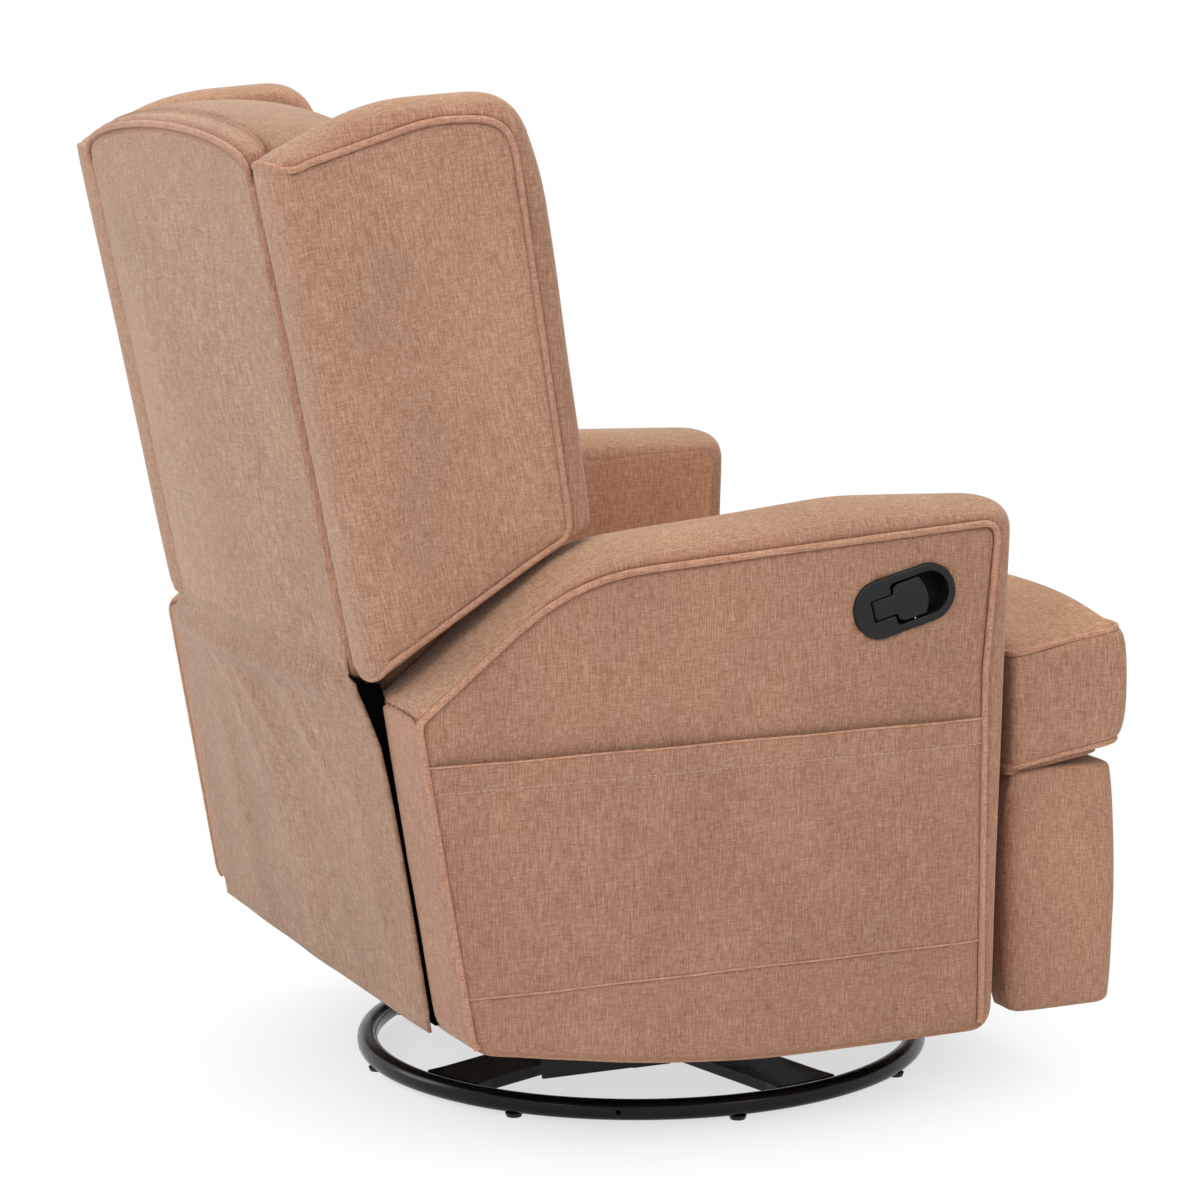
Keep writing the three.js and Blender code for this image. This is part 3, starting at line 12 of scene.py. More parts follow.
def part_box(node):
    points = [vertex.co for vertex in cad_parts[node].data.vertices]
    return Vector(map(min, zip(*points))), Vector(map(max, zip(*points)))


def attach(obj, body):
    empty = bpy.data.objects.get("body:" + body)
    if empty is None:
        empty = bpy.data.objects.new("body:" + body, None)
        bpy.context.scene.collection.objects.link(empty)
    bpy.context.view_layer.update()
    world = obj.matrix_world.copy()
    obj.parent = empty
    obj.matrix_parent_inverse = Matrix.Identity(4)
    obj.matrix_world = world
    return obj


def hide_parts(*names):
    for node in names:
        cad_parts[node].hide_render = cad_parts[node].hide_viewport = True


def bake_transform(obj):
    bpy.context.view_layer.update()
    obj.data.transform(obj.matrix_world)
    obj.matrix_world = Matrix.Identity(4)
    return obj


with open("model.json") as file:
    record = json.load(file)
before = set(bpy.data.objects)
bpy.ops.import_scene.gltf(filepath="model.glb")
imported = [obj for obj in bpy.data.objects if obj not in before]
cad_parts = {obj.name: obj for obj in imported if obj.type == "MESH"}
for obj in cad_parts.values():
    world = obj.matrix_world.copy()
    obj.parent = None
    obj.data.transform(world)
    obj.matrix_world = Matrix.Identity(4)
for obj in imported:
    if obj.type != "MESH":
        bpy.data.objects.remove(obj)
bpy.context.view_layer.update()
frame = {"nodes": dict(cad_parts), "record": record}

# Lengths are in metres, and the tables' angles in degrees. Most places are given from the
# swivel's axis on the floor, which is the middle of the base ring: x to the sitter's left,
# y to the back, z up.

ring_low, ring_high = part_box("base_ring")
AXIS = Vector(((ring_low.x + ring_high.x) / 2, (ring_low.y + ring_high.y) / 2, 0))
SEED = 7
LEFT, RIGHT = 1, -1

# Driving sizes

CONTACT = 0.0003  # gap between two pieces that touch
PIPING = 0.0033  # radius of the cord that is sewn into the seams

PIPING_OUT = PIPING * 0.35  # how far a cord's middle stands out of its seam
SEAM = Sizes(depth=0.0045, width=0.006, thread=0.0008, lift=0.0004)

ARM = Sizes(
    inner=0.268, thickness=0.1175, crown=0.003, squareness=0.88,
    front=-0.236, length=0.625, bottom=0.085, height=0.526, centre_share=0.45,
)
# Corners of an outline: place along the length, place up the height, radius over height
ARM_CREST_SHARES = [
    (0.032, 0.004, 0.057), (0.008, 0.637, 0.4), (0, 0.987, 0.057), (0.275, 1, 0.76),
    (0.718, 0.948, 0.247), (1, 0.688, 0.027), (0.918, 0.07, 0.076), (0.53, 0.002, 2.4),
]
ARM_FACE_SHARES = [
    (0.074, 0.01, 0.027), (0.07, 0.675, 0.3), (0.048, 0.952, 0.03), (0.275, 0.936, 0.76),
    (0.749, 0.901, 0.447), (0.992, 0.671, 0.027), (0.913, 0.08, 0.048), (0.525, 0.007, 2.4),
]
FRONT_FOOT, FRONT_RISE, REAR_SHOULDER, REAR_FOOT = 0, 1, 5, 6  # places in both lists
ARM_OUTER = ARM.inner + ARM.thickness

SEAT = Sizes(
    slope=0.15, front=-0.369, rear=0.230, ear=0.356, ear_gap=0.005,
    side_gap=0.002, bottom=0.358, thickness=0.109, crown=0.040, bulge=0.012,
    welt_inset=0.003, crest_inset=0.005, welt_out=PIPING * 0.3, seam_depth=0.003,
    squareness=0.75, flatness=3.5,
)
PLATFORM = Sizes(
    front_inset=0.022, side_inset=0.012, thickness=0.010, arm_gap=0.013,
    front_corner=0.020, ear_corner=0.006, tongue_corner=0.003, squareness=0.6,
)
FOOT = Sizes(
    front=-0.361, half_width=0.350, bottom=0.090, top=0.333, thickness=0.048,
    crown=0.005, edge=0.007, corner=0.026, squareness=0.32, end_draw=0.35,
    end_drop=0.015,
)
BACK = Sizes(
    lean=0.19, rear=0.403, bottom=0.460, seam_top=0.932, arch=0.034,
    half_width=0.265, panel=0.020, panel_crown=0.018, panel_rise=0.016,
    panel_front_inset=0.009, panel_rear_inset=0.001, centre_share=0.4,
    cord_drop=0.001, pad_depth=0.136, pad_bottom=0.395, pad_top=0.991,
    pad_shoulder=0.944, pad_crown=0.040, pad_edge=0.036, pad_rear_edge=0.012,
    pad_slack=0.004, pad_flatness=3, pad_swell=0.016, pad_voxel=0.008,
)
WING = Sizes(
    gap=0.0004, thickness=0.0646, crown=0.004, length=0.249, bottom=0.462,
    height=0.538, centre_share=0.55, squareness=0.8,
)
# As the arm's, but the first share is the place ahead of the back's rear line
WING_CREST_SHARES = [
    (0, 0, 0.018), (0.762, 0.21, 0.1), (1, 0.253, 0.022), (1.073, 0.861, 0.56),
    (1.001, 1, 0.102), (0.415, 0.981, 0.65), (0, 0.887, 0.03),
]
WING_FACE_SHARES = [
    (0.062, 0.037, 0.022), (0.729, 0.208, 0.1), (0.871, 0.24, 0.02), (0.929, 0.814, 0.56),
    (0.941, 0.95, 0.067), (0.644, 0.951, 0.28), (0.062, 0.872, 0.03),
]
WING_INNER_SHARES = [
    (0.03, 0.012, 0.02), (0.74, 0.226, 0.1), (0.9, 0.262, 0.022), (0.96, 0.83, 0.56),
    (0.95, 0.962, 0.067), (0.6, 0.96, 0.28), (0.03, 0.868, 0.015),
]
FLAP = Sizes(
    half_width=0.298, bottom=0.127, stand_off=0.008, lean=0.15, flare=0.012,
    top_crown=0.015, bottom_crown=0.003, thickness=0.003, shoulder=0.404,
    corner=0.280, overlap=0.038, side_inset=0.004, slack=0.0022,
    hem=0.020, hem_fold=0.0008, hem_ease=0.004,
    join_ease=0.008, proud=0.0012, sink=0.0024, sink_start=0.004,
    # The black sheet behind the flap is painted shade for the shadowed gaps beside it
    lining_half_width=0.3005, lining_bottom=0.134, lining_top=0.462,
    lining_behind=0.003, lining_thickness=0.001, lining_return=0.012,
)
# The name under which bending cloth stores its places at rest
REST_PLACE = "rest_place"
# The flap hangs askew: its edge on the sitter's left, as z, x
FLAP_LEFT_EDGE = [
    (0.127, 0.326), (0.274, 0.336), (0.317, 0.340), (0.362, 0.336), (0.409, 0.322), (0.443, 0.305),
    (0.460, 0.280),
]
# Folds in the flap: from x, z to x, z, width, height
FLAP_FOLDS = [
    (-0.190, 0.446, 0.300, 0.434, 0.011, 0.0100),
    (0.100, 0.440, -0.020, 0.360, 0.012, 0.0045),
    (-0.060, 0.440, -0.170, 0.330, 0.016, 0.0045),
    (0.150, 0.440, 0.060, 0.300, 0.022, 0.0030),
    (-0.210, 0.400, -0.230, 0.180, 0.026, 0.0035),
    (0.020, 0.380, -0.010, 0.170, 0.040, 0.0035),
    (0.200, 0.360, 0.190, 0.200, 0.035, 0.0030),
]
POCKET = Sizes(
    top=0.397, bottom=0.179, side_gap=0.004, side_inset=PIPING * 0.6,
    thickness=0.0016, slack=0.0016, slack_start=0.12, recess=0.0045, ease=0.012,
    mouth=0.034, hem=0.0245, hem_fold=0.0007, hem_start=-0.002, hem_end=0.001,
    stitch_sink=0.0008, stitch_width=0.0016, hem_sag=0.0003, edge_sink=0.0003,
    hem_radius=0.0011, seam_radius=0.0012, tacks=(0.316, 0.084),
)
# Slack in the pocket's cloth: waves to a metre along and up it, height
POCKET_RIPPLES = [(11, 5, 0.0013), (42, 18, 0.0004)]
THREAD = Sizes(
    radius=0.0006, lift=0.0003, length=0.0042, gap=0.0018,
    tack_lift=0.0004, tack_length=0.0025, tack_gap=0.001, tack_top=0.001,
    sway=0.0006, sways=900,
)
# Slack and stuffing under the cloth: height, length and seed
RUFFLES = {
    "arm": (0.0011, 0.11, 3), "wing": (0.0011, 0.12, 5), "back": (0.0014, 0.16, 11),
    "cushion": (0.0016, 0.13, 21), "footrest": (0.0014, 0.09, 31),
}
CLOTH = Sizes(pressure=4.0, stiffness=25, bending=0.5, frames=20)

BEZEL = Sizes(
    y=-0.1038, z=0.517, tilt=14.4, radius=0.028, spacing=0.053,
    proud=0.003, lip=0.0035, depth=0.028, wall=0.0026, rim=0.0075,
    slot=0.0105, slot_rear=0.019, slot_corner=0.001, neck_corner=0.003,
    mouth_rear=0.042, mouth_corner=0.0085, centre_ahead=0.02, edge=0.0012,
    outer_edge=0.00192, land=0.0005, mouth_land=0.0004, mouth_lip=0.004,
    cutter=0.02,
)
LEVER = Sizes(
    gap=0.001, sink=0.001, thickness=0.004, length=0.080, half_width=0.0182,
    bulge=0.0007, edge=0.0009, rear_gap=0.0016, pin_from_rear=0.028,
    pin_depth=0.006, barrel=0.0086, shoulder_run=0.001,
)

# Radii of the lever's corners, from its rear end to its front
LEVER_RADII = Sizes(rear=0.0006, neck=0.0012, shoulder=0.003, front=0.02)
SCREW = Sizes(along=0.007, across=-0.0194, radius=0.0011)

RING = Sizes(
    width=0.021, squareness=0.8, around=160, section=20,
    drain_radius=0.0025, drain_angle=152,
)

# The camera stands behind the sitter's right side. Its place is from the swivel's axis, and
# its turns are yaw, pitch and roll.
CAMERA = Sizes(
    place=(-3.4587, 1.5106, 1.0615), turns=(23.0, 8.9, -0.5),
    focal_pixels=3716.9, picture_pixels=1200, sensor=36, farthest=50,
)
# Place, what it points at, size, power and colour
LAMPS = {
    "key_lamp": ((-2.6, 3.2, 3.4), (0, 0, 0.5), 2.6, 78, (1, 0.985, 0.965)),
    "side_lamp": ((-3.6, -1.2, 3.1), (0, 0, 0.4), 2.4, 44, (1, 1, 1)),
    "top_lamp": ((0.4, -0.4, 3.6), (0, 0, 0.4), 2.6, 60, (1, 1, 0.96)),
    "rear_lamp": ((2.4, 3.4, 1.9), (0, 0.3, 0.6), 2.2, 48, (0.84, 0.98, 1.08)),
}
WORLD = Sizes(colour=(1, 0.99, 0.98, 1), strength=0.50)
WHITE = (1, 1, 1, 1)
# The floor near the base is its own colour mixed with at least the least share of white glow,
# which lightens the chair's shadow there as painted light, and white from the fade's end outwards
FLOOR = Sizes(half=8.0, clear=0.27, fade=0.50, least=0.66, colour=(0.93, 0.93, 0.94))


# Outlines and places

# Steps round each rounded corner, and along the straight after it
CURVE_STEPS, STRAIGHT_STEPS = 7, 5
PER_CORNER = CURVE_STEPS + 1 + STRAIGHT_STEPS
CURVE_MIDDLE = (CURVE_STEPS + 1) // 2
QUARTER_TURN = [pi / 2 * step / 5 for step in range(6)]
SIDE_NAMES = {LEFT: "left", RIGHT: "right"}


def from_axis(x, y, z):
    return AXIS + Vector((x, y, z))


def side_place(side, middle):
    """Places on an upright piece at one side: along, up, and out from its middle plane."""
    def place(y, z, w):
        return from_axis(side * (middle + w), y, z)
    return place


def rounded_outline(corners, steps=CURVE_STEPS, between=STRAIGHT_STEPS, flattest=0.05, room=2.05):
    """Points of a polygon whose corners (u, v, radius) are rounded, as many for each corner.
    flattest keeps a curve at corners that hardly turn, and room a straight between two."""
    count = len(corners)
    arcs = []
    for index, (u, v, radius) in enumerate(corners):
        here = Vector((u, v))
        before = Vector(corners[index - 1][:2]) - here
        after = Vector(corners[(index + 1) % count][:2]) - here
        tangent = max(tan((pi - before.angle(after)) / 2), flattest)
        reach = min(radius * tangent, before.length / room, after.length / room)
        arcs.append((here + before.normalized() * reach, here, here + after.normalized() * reach))
    points = []
    for index, (start, corner, end) in enumerate(arcs):
        for step in range(steps + 1):
            t = step / steps
            points.append(start * (1 - t) ** 2 + corner * 2 * t * (1 - t) + end * t ** 2)
        following = arcs[(index + 1) % count][0]
        for step in range(1, between + 1):
            points.append(end.lerp(following, step / (between + 1)))
    return np.array([tuple(p) for p in points])


def arm_outline(shares):
    return rounded_outline([
        (ARM.front + along * ARM.length, ARM.bottom + up * ARM.height, r * ARM.height)
        for along, up, r in shares
    ])


def rear_line(z):
    return BACK.rear + BACK.lean * (z - BACK.bottom)


def wing_outline(shares):
    corners = []
    for ahead, up, radius in shares:
        z = WING.bottom + WING.height * up
        corners.append((rear_line(z) - WING.length * ahead, z, radius * WING.height))
    return rounded_outline(corners)


def cushion_bottom(y):
    return SEAT.bottom - SEAT.slope * (y - SEAT.front)


# Meshes


def added(thing):
    bpy.context.scene.collection.objects.link(thing)


def new_object(name, vertices, faces, body):
    mesh = bpy.data.meshes.new(name)
    mesh.from_pydata([tuple(v) for v in vertices], [], faces)
    mesh.update()
    piece = bpy.data.objects.new(name, mesh)
    added(piece)
    face_outwards(mesh)
    smooth(piece)
    if body:
        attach(piece, body)
    return piece


def face_outwards(mesh):
    places = point_values(mesh, "co")
    mesh.calc_loop_triangles()
    corners = np.zeros(len(mesh.loop_triangles) * 3, int)
    mesh.loop_triangles.foreach_get("vertices", corners)
    a, b, c = places[corners.reshape(-1, 3)].transpose(1, 0, 2)
    if np.einsum("ij,ij->i", a, np.cross(b, c)).sum() < 0:
        mesh.flip_normals()


def smooth(piece):
    piece.data.polygons.foreach_set("use_smooth", [True] * len(piece.data.polygons))


def apply_modifiers(piece):
    depsgraph = bpy.context.evaluated_depsgraph_get()
    mesh = bpy.data.meshes.new_from_object(piece.evaluated_get(depsgraph))
    piece.modifiers.clear()
    old = piece.data
    piece.data = mesh
    bpy.data.meshes.remove(old)


def subdivided(piece, levels=1):
    modifier = piece.modifiers.new("subdivision", "SUBSURF")
    modifier.levels = levels
    modifier.render_levels = levels
    apply_modifiers(piece)
    smooth(piece)
    return piece


def loft(name, loops, first_tip, last_tip, body, band=None, band_points=None):
    """A closed skin over loops with as many points each. The part of it between the loops in
    band, and over the points in band_points, takes material 1."""
    count = len(loops[0])
    vertices = [point for loop in loops for point in loop]
    top = len(vertices)
    vertices += [first_tip, last_tip]
    faces = []
    slots = []
    for index in range(count):
        following = (index + 1) % count
        faces.append((top, index, following))
        slots.append(0)
        for row in range(len(loops) - 1):
            here = row * count
            below = here + count
            faces.append((here + index, below + index, below + following, here + following))
            inside = band and band[0] <= row < band[1]
            slots.append(1 if inside and (band_points is None or index in band_points) else 0)
        last = (len(loops) - 1) * count
        faces.append((top + 1, last + following, last + index))
        slots.append(0)
    piece = new_object(name, vertices, faces, body)
    piece.data.polygons.foreach_set("material_index", slots)
    return piece


def edge_point(place, crest, faces, half, index, angle, bend=1.0):
    """A point on a form's round edge: angle 0 is on the first face's outline, pi on the other's."""
    face = faces[0] if angle <= pi / 2 else faces[1]
    side = 1 if angle <= pi / 2 else -1
    u, v = face[index] + (crest[index] - face[index]) * sin(angle) ** bend
    return place(u, v, side * abs(cos(angle)) ** bend * half)


# How far from a face's middle to its edge its rings of points lie
FACE_RINGS = (0.2, 0.4, 0.58, 0.72, 0.83, 0.91, 0.96, 0.985)
# The round edge starts this far round from the face's seam
EDGE_START = pi / 2 * 0.09


def upholstered(name, body, place, crest, faces, thickness, crowns, centre, groove=0.0,
                bend=1.0, power=6, steps=9, far_seam=False, band_points=None):
    """A stuffed form with a round edge between two face outlines. bend and groove hold for the
    whole edge or for each point of the outline: bend under 1 makes the edge squarer, and
    groove is how deep the seam round a face lies. power flattens the crowns."""
    half = thickness / 2
    centre = np.array(centre)
    bend = np.broadcast_to(np.asarray(bend, float), (len(crest),))
    groove = np.broadcast_to(np.asarray(groove, float), (len(crest),))

    def domed(face, crown, share, side):
        flat = centre + (face - centre) * share
        rise = half + crown * (1 - share ** power)
        return [place(u, v, side * rise) for u, v in flat]

    def edge(angle):
        return [edge_point(place, crest, faces, half, i, angle, bend[i]) for i in range(len(crest))]

    loops = [domed(faces[0], crowns[0], share, 1) for share in FACE_RINGS]
    band_start = len(loops)
    loops.append([place(u, v, half - depth) for (u, v), depth in zip(faces[0], groove)])
    for step in range(2 * steps + 1):
        loops.append(edge(EDGE_START + (pi - 2 * EDGE_START) * step / (2 * steps)))
    if far_seam:
        loops.append([place(u, v, depth - half) for (u, v), depth in zip(faces[1], groove)])
    band_end = len(loops) - 1
    loops += [domed(faces[1], crowns[1], share, -1) for share in reversed(FACE_RINGS)]
    tips = [place(*centre, half + crowns[0]), place(*centre, -half - crowns[1])]
    return loft(name, loops, *tips, body, (band_start, band_end), band_points)


def swept_tube(name, points, radius, body, sides=10, wobble=0.05):
    """A round cord along points, with closed ends and a slightly uneven thickness."""
    unevenness = 90
    points = [Vector(p) for p in points]
    vertices, faces = [], []
    normal = None
    for index, point in enumerate(points):
        ahead = points[min(index + 1, len(points) - 1)] - points[max(index - 1, 0)]
        ahead.normalize()
        if normal is None:
            normal = ahead.orthogonal()
        normal = (normal - ahead * normal.dot(ahead)).normalized()
        side = ahead.cross(normal)
        swell = radius * (1 + wobble * noise.noise(point * unevenness))
        vertices += [point + spoke * swell for spoke in spokes(normal, side, sides)]
    for row in range(len(points) - 1):
        faces += wrapped(row * sides, sides)
    faces.append(tuple(range(sides)))
    last = (len(points) - 1) * sides
    faces.append(tuple(reversed(range(last, last + sides))))
    return new_object(name, vertices, faces, body)


def spokes(normal, side, count):
    """Directions all round, in the plane of the two that are given."""
    turns = [2 * pi * k / count for k in range(count)]
    return [normal * cos(turn) + side * sin(turn) for turn in turns]


def wrapped(first, count):
    """Faces between the loop of count points that starts at first and the next one."""
    following = [(k + 1) % count for k in range(count)]
    return [(first + k, first + n, first + count + n, first + count + k) for k, n in enumerate(following)]


def resampled(points, spacing=0.004):
    """Places at even steps along a path, four at the least."""
    points = np.array([tuple(p) for p in points])
    lengths = np.r_[0, np.cumsum(np.linalg.norm(np.diff(points, axis=0), axis=1))]
    targets = np.linspace(0, lengths[-1], max(4, int(lengths[-1] / spacing)))
    return np.stack([np.interp(targets, lengths, points[:, k]) for k in range(3)], axis=1)


def softened(points, reach):
    """The points with their sharp turns rounded."""
    points = np.asarray(points)
    padded = np.vstack([points[:1]] * reach + [points] + [points[-1:]] * reach)
    return sum(padded[k:k + len(points)] for k in range(2 * reach + 1)) / (2 * reach + 1)


def cloth_sheet(name, inner, outer, body):
    """A thin closed sheet between two grids of places with as many rows and columns."""
    rows, columns = len(inner), len(inner[0])
    count = rows * columns
    vertices = [place for grid in (inner, outer) for row in grid for place in row]
    faces = []
    for row in range(rows - 1):
        for column in range(columns - 1):
            a = row * columns + column
            b = a + columns
            faces.append((a, b, b + 1, a + 1))
            faces.append((a + count, a + count + 1, b + count + 1, b + count))
    rim = list(range(columns))
    rim += [row * columns + columns - 1 for row in range(1, rows)]
    rim += [(rows - 1) * columns + k for k in range(columns - 2, -1, -1)]
    rim += [row * columns for row in range(rows - 2, 0, -1)]
    for a, b in zip(rim, rim[1:] + rim[:1]):
        faces.append((a, b, b + count, a + count))
    return new_object(name, vertices, faces, body)


def ruffled(piece, kind, side=0):
    """Moves a fabric's points along their normals by smooth noise, for slack and stuffing."""
    height, size, seed = RUFFLES[kind]
    offset = Vector([(seed + side) * step for step in (3.1, 1.7, 2.3)])
    finer, share = 2.3, 0.5
    for vertex in piece.data.vertices:
        amount = noise.noise(vertex.co / size + offset)
        amount += share * noise.noise(vertex.co * finer / size + offset)
        vertex.co += vertex.normal * height * amount
    piece.data.update()


def carved(piece, path, depth, width):
    """Draws the fabric in along a seam."""
    tree = kdtree.KDTree(len(path))
    for index, point in enumerate(path):
        tree.insert(point, index)
    tree.balance()
    for vertex in piece.data.vertices:
        distance = tree.find(vertex.co)[2]
        if distance < width:
            vertex.co -= vertex.normal * depth * (1 - distance / width) ** 2
    piece.data.update()


def onto_surface(piece, points, lift=0.0):
    """The nearest places on a piece's surface, lifted off it."""
    mesh = piece.data
    tree = BVHTree.FromPolygons([v.co for v in mesh.vertices], [p.vertices for p in mesh.polygons])
    found = []
    for point in points:
        place, normal, _, _ = tree.find_nearest(Vector(point))
        found.append(place + normal * lift)
    return found


def point_values(mesh, name):
    values = np.zeros(len(mesh.vertices) * 3)
    mesh.vertices.foreach_get(name, values)
    return values.reshape(-1, 3)


def stuffed(piece, cap, voxel):
    """Swells a closed form as cloth under pressure, each point outwards by the cap at the most."""
    remesh = piece.modifiers.new("remesh", "REMESH")
    remesh.mode = "VOXEL"
    remesh.voxel_size = voxel
    apply_modifiers(piece)
    start = point_values(piece.data, "co")
    outward = point_values(piece.data, "normal")
    cloth = piece.modifiers.new("cloth", "CLOTH")
    settings = cloth.settings
    settings.use_pressure = True
    settings.uniform_pressure_force = CLOTH.pressure
    settings.effector_weights.gravity = 0
    settings.tension_stiffness = CLOTH.stiffness
    settings.compression_stiffness = CLOTH.stiffness
    settings.bending_stiffness = CLOTH.bending
    cloth.point_cache.frame_start = 1
    cloth.point_cache.frame_end = CLOTH.frames
    scene = bpy.context.scene
    for step in range(1, CLOTH.frames + 1):
        scene.frame_set(step)
    apply_modifiers(piece)
    swell = ((point_values(piece.data, "co") - start) * outward).sum(axis=1, keepdims=True)
    piece.data.vertices.foreach_set("co", (start + outward * np.clip(swell, 0, cap)).ravel())
    scene.frame_set(1)
    piece.data.update()
    return subdivided(piece)


# Materials


class Look:
    """A material, with short calls for adding and joining its nodes."""

    def __init__(self, name, colour, roughness, **sockets):
        self.made = bpy.data.materials.new(name)
        self.made.use_nodes = True
        self.made.diffuse_color = (*colour, 1)
        self.tree = self.made.node_tree
        self.shader = self.tree.nodes["Principled BSDF"]
        self.place = self.add("TexCoord").outputs["Object"]
        self.shade("Base Color", (*colour, 1))
        self.shade("Roughness", roughness)
        for key, value in sockets.items():
            self.shade(key.replace("_", " "), value)

    def add(self, kind, settings=(), **inputs):
        node = self.tree.nodes.new("ShaderNode" + kind)
        for key, value in dict(settings).items():
            setattr(node, key, value)
        for key, value in inputs.items():
            self.set(node, key.replace("_", " "), value)
        return node

    def set(self, node, key, value):
        target = node.inputs[int(key[1:])] if key[0] == "i" and key[1:].isdigit() else node.inputs[key]
        if isinstance(value, bpy.types.NodeSocket):
            self.tree.links.new(value, target)
        else:
            target.default_value = value

    def shade(self, key, value):
        self.set(self.shader, key, value)

    def noise(self, vector, scale, detail=2.0, roughness=0.5):
        node = self.add("TexNoise", Vector=vector, Scale=scale, Detail=detail, Roughness=roughness)
        return node.outputs["Fac"]

    def stretched(self, vector, scales):
        return self.add("Mapping", Vector=vector, Scale=scales).outputs["Vector"]

    def math(self, operation, a, b):
        return self.add("Math", {"operation": operation}, i0=a, i1=b).outputs["Value"]

    def shades(self, fac, colour, levels):
        """Darker and lighter shades of a colour: (place, level) along a value."""
        return self.ramp(fac, [(place, tuple(np.multiply(colour, level))) for place, level in levels])

    def ramp(self, fac, stops):
        node = self.add("ValToRGB", Fac=fac)
        ramp = node.color_ramp
        while len(ramp.elements) < len(stops):
            ramp.elements.new(0.5)
        for element, (place, colour) in zip(ramp.elements, stops):
            element.position = place
            element.color = (*colour, 1)
        return node.outputs["Color"]

    def remap(self, value, low, high, to_low, to_high):
        node = self.add("MapRange", i0=value, i1=low, i2=high, i3=to_low, i4=to_high)
        return node.outputs["Result"]

    def uneven(self, value, to_low, to_high):
        """A noise's usual range, turned into another one."""
        return self.remap(value, 0.3, 0.7, to_low, to_high)

    def mix(self, kind, fac, a, b):
        node = self.add("Mix", {"data_type": "RGBA", "blend_type": kind})
        self.set(node, "i0", fac)
        self.set(node, "i6", a)
        self.set(node, "i7", b)
        return node.outputs[2]

    def bump(self, height, strength, distance):
        node = self.add("Bump", Height=height, Strength=strength, Distance=distance)
        self.shade("Normal", node.outputs["Normal"])


# Yarns: how many to a metre across them, and how far the thick stretches run along them
YARN = Sizes(across=820, along=75, weft=120, fine_across=1500, fine_along=420, through=60)
# How much each kind of yarn adds to the weave, and how wide the nap's clouds are
WEAVE = {"slubs": 0.40, "wefts": 0.28, "pile": 0.32, "nap": (9, 9, 6), "bump": 0.40, "height": 0.0009}
TAN_DARK = (0.315, 0.150, 0.088)
TAN = (0.430, 0.232, 0.148)
TAN_LIGHT = (0.560, 0.335, 0.232)


SHEEN = {"Sheen_Weight": 0.22, "Sheen_Roughness": 0.4, "Sheen_Tint": (0.95, 0.86, 0.80, 1)}


def fabric(name, along, level=1.0, lean=0.0, flat=None, coarse=1.0, stored=None):
    """Woven chenille. Its thick and thin stretches run along one axis, and finer ones cross
    them. level is a factor on its colour, or one for each of red, green and blue: the copies at
    different levels are painted light and shade, lit and shaded copies of one cloth. lean turns
    the cloth about the chair's width, flat is the axis that the cloth faces, and coarse makes
    its yarns wider. stored names the places of the cloth at rest, for cloth that bends."""
    look = Look(name, TAN, 0.94, Specular_IOR_Level=0.18, **SHEEN)
    place = look.place
    if stored:
        place = look.add("Attribute", {"attribute_name": stored}).outputs["Vector"]
    if lean:
        place = look.add("Mapping", Vector=place, Rotation=(lean, 0, 0)).outputs["Vector"]

    def yarn(across, lengthwise, detail, roughness=0.5):
        scales = [across / coarse] * 3
        scales[along] = lengthwise
        if flat is not None:
            scales[flat] = YARN.through
        return look.noise(look.stretched(place, scales), 1.0, detail, roughness)
    yarns = {
        "slubs": yarn(YARN.across, YARN.along, 1.0),
        "wefts": yarn(YARN.weft, YARN.across, 1.0),
        "pile": yarn(YARN.fine_across, YARN.fine_along, 2.0, 0.6),
    }
    slubs, wefts, pile = (look.math("MULTIPLY", yarns[kind], WEAVE[kind]) for kind in yarns)
    weave = look.math("ADD", look.math("ADD", slubs, wefts), pile)
    dark, middle, light = (tuple(np.multiply(colour, level)) for colour in (TAN_DARK, TAN, TAN_LIGHT))
    colour = look.ramp(weave, [(0.36, dark), (0.50, middle), (0.64, light)])
    shade = look.uneven(look.noise(look.stretched(place, WEAVE["nap"]), 1.0, 3.0), 0.92, 1.08)
    tone = look.add("CombineColor", i0=shade, i1=shade, i2=shade).outputs["Color"]
    look.shade("Base Color", look.mix("MULTIPLY", 1.0, colour, tone))
    look.bump(weave, WEAVE["bump"], WEAVE["height"])
    return look.made


def gloss_paint(name, colour):
    """Smooth paint, with a faint orange peel and hazy patches."""
    peel, patches = 420.0, 35.0
    look = Look(name, colour, 0.22, Coat_Weight=0.12, Coat_Roughness=0.12, Specular_IOR_Level=0.16)
    look.shade("Roughness", look.uneven(look.noise(look.place, patches, 4.0), 0.17, 0.30))
    look.bump(look.noise(look.place, peel), 0.12, 0.0003)
    return look.made


def bare_metal(name, colour, roughness, grain):
    look = Look(name, colour, roughness, Metallic=1.0)
    brushed = look.noise(look.stretched(look.place, grain), 1.0, 3.0)
    look.shade("Roughness", look.uneven(brushed, roughness - 0.1, roughness + 0.12))
    look.bump(brushed, 0.2, 0.0002)
    return look.made


def grained_plastic(name, colour, roughness, scale=1500.0, strength=0.5):
    look = Look(name, colour, roughness, Specular_IOR_Level=0.29)
    grain = look.noise(look.place, scale, 3.0, 0.65)
    look.shade("Base Color", look.shades(grain, colour, [(0.35, 0.7), (0.7, 1.7)]))
    look.shade("Roughness", look.uneven(grain, roughness - 0.08, roughness + 0.12))
    look.bump(grain, strength, 0.0004)
    return look.made


def plain_thread(name, colour, gloss=0.3):
    twists = 900.0
    look = Look(name, colour, 0.95, Specular_IOR_Level=gloss)
    twist = look.noise(look.place, twists)
    look.shade("Base Color", look.shades(twist, colour, [(0.3, 0.75), (0.7, 1.2)]))
    return look.made


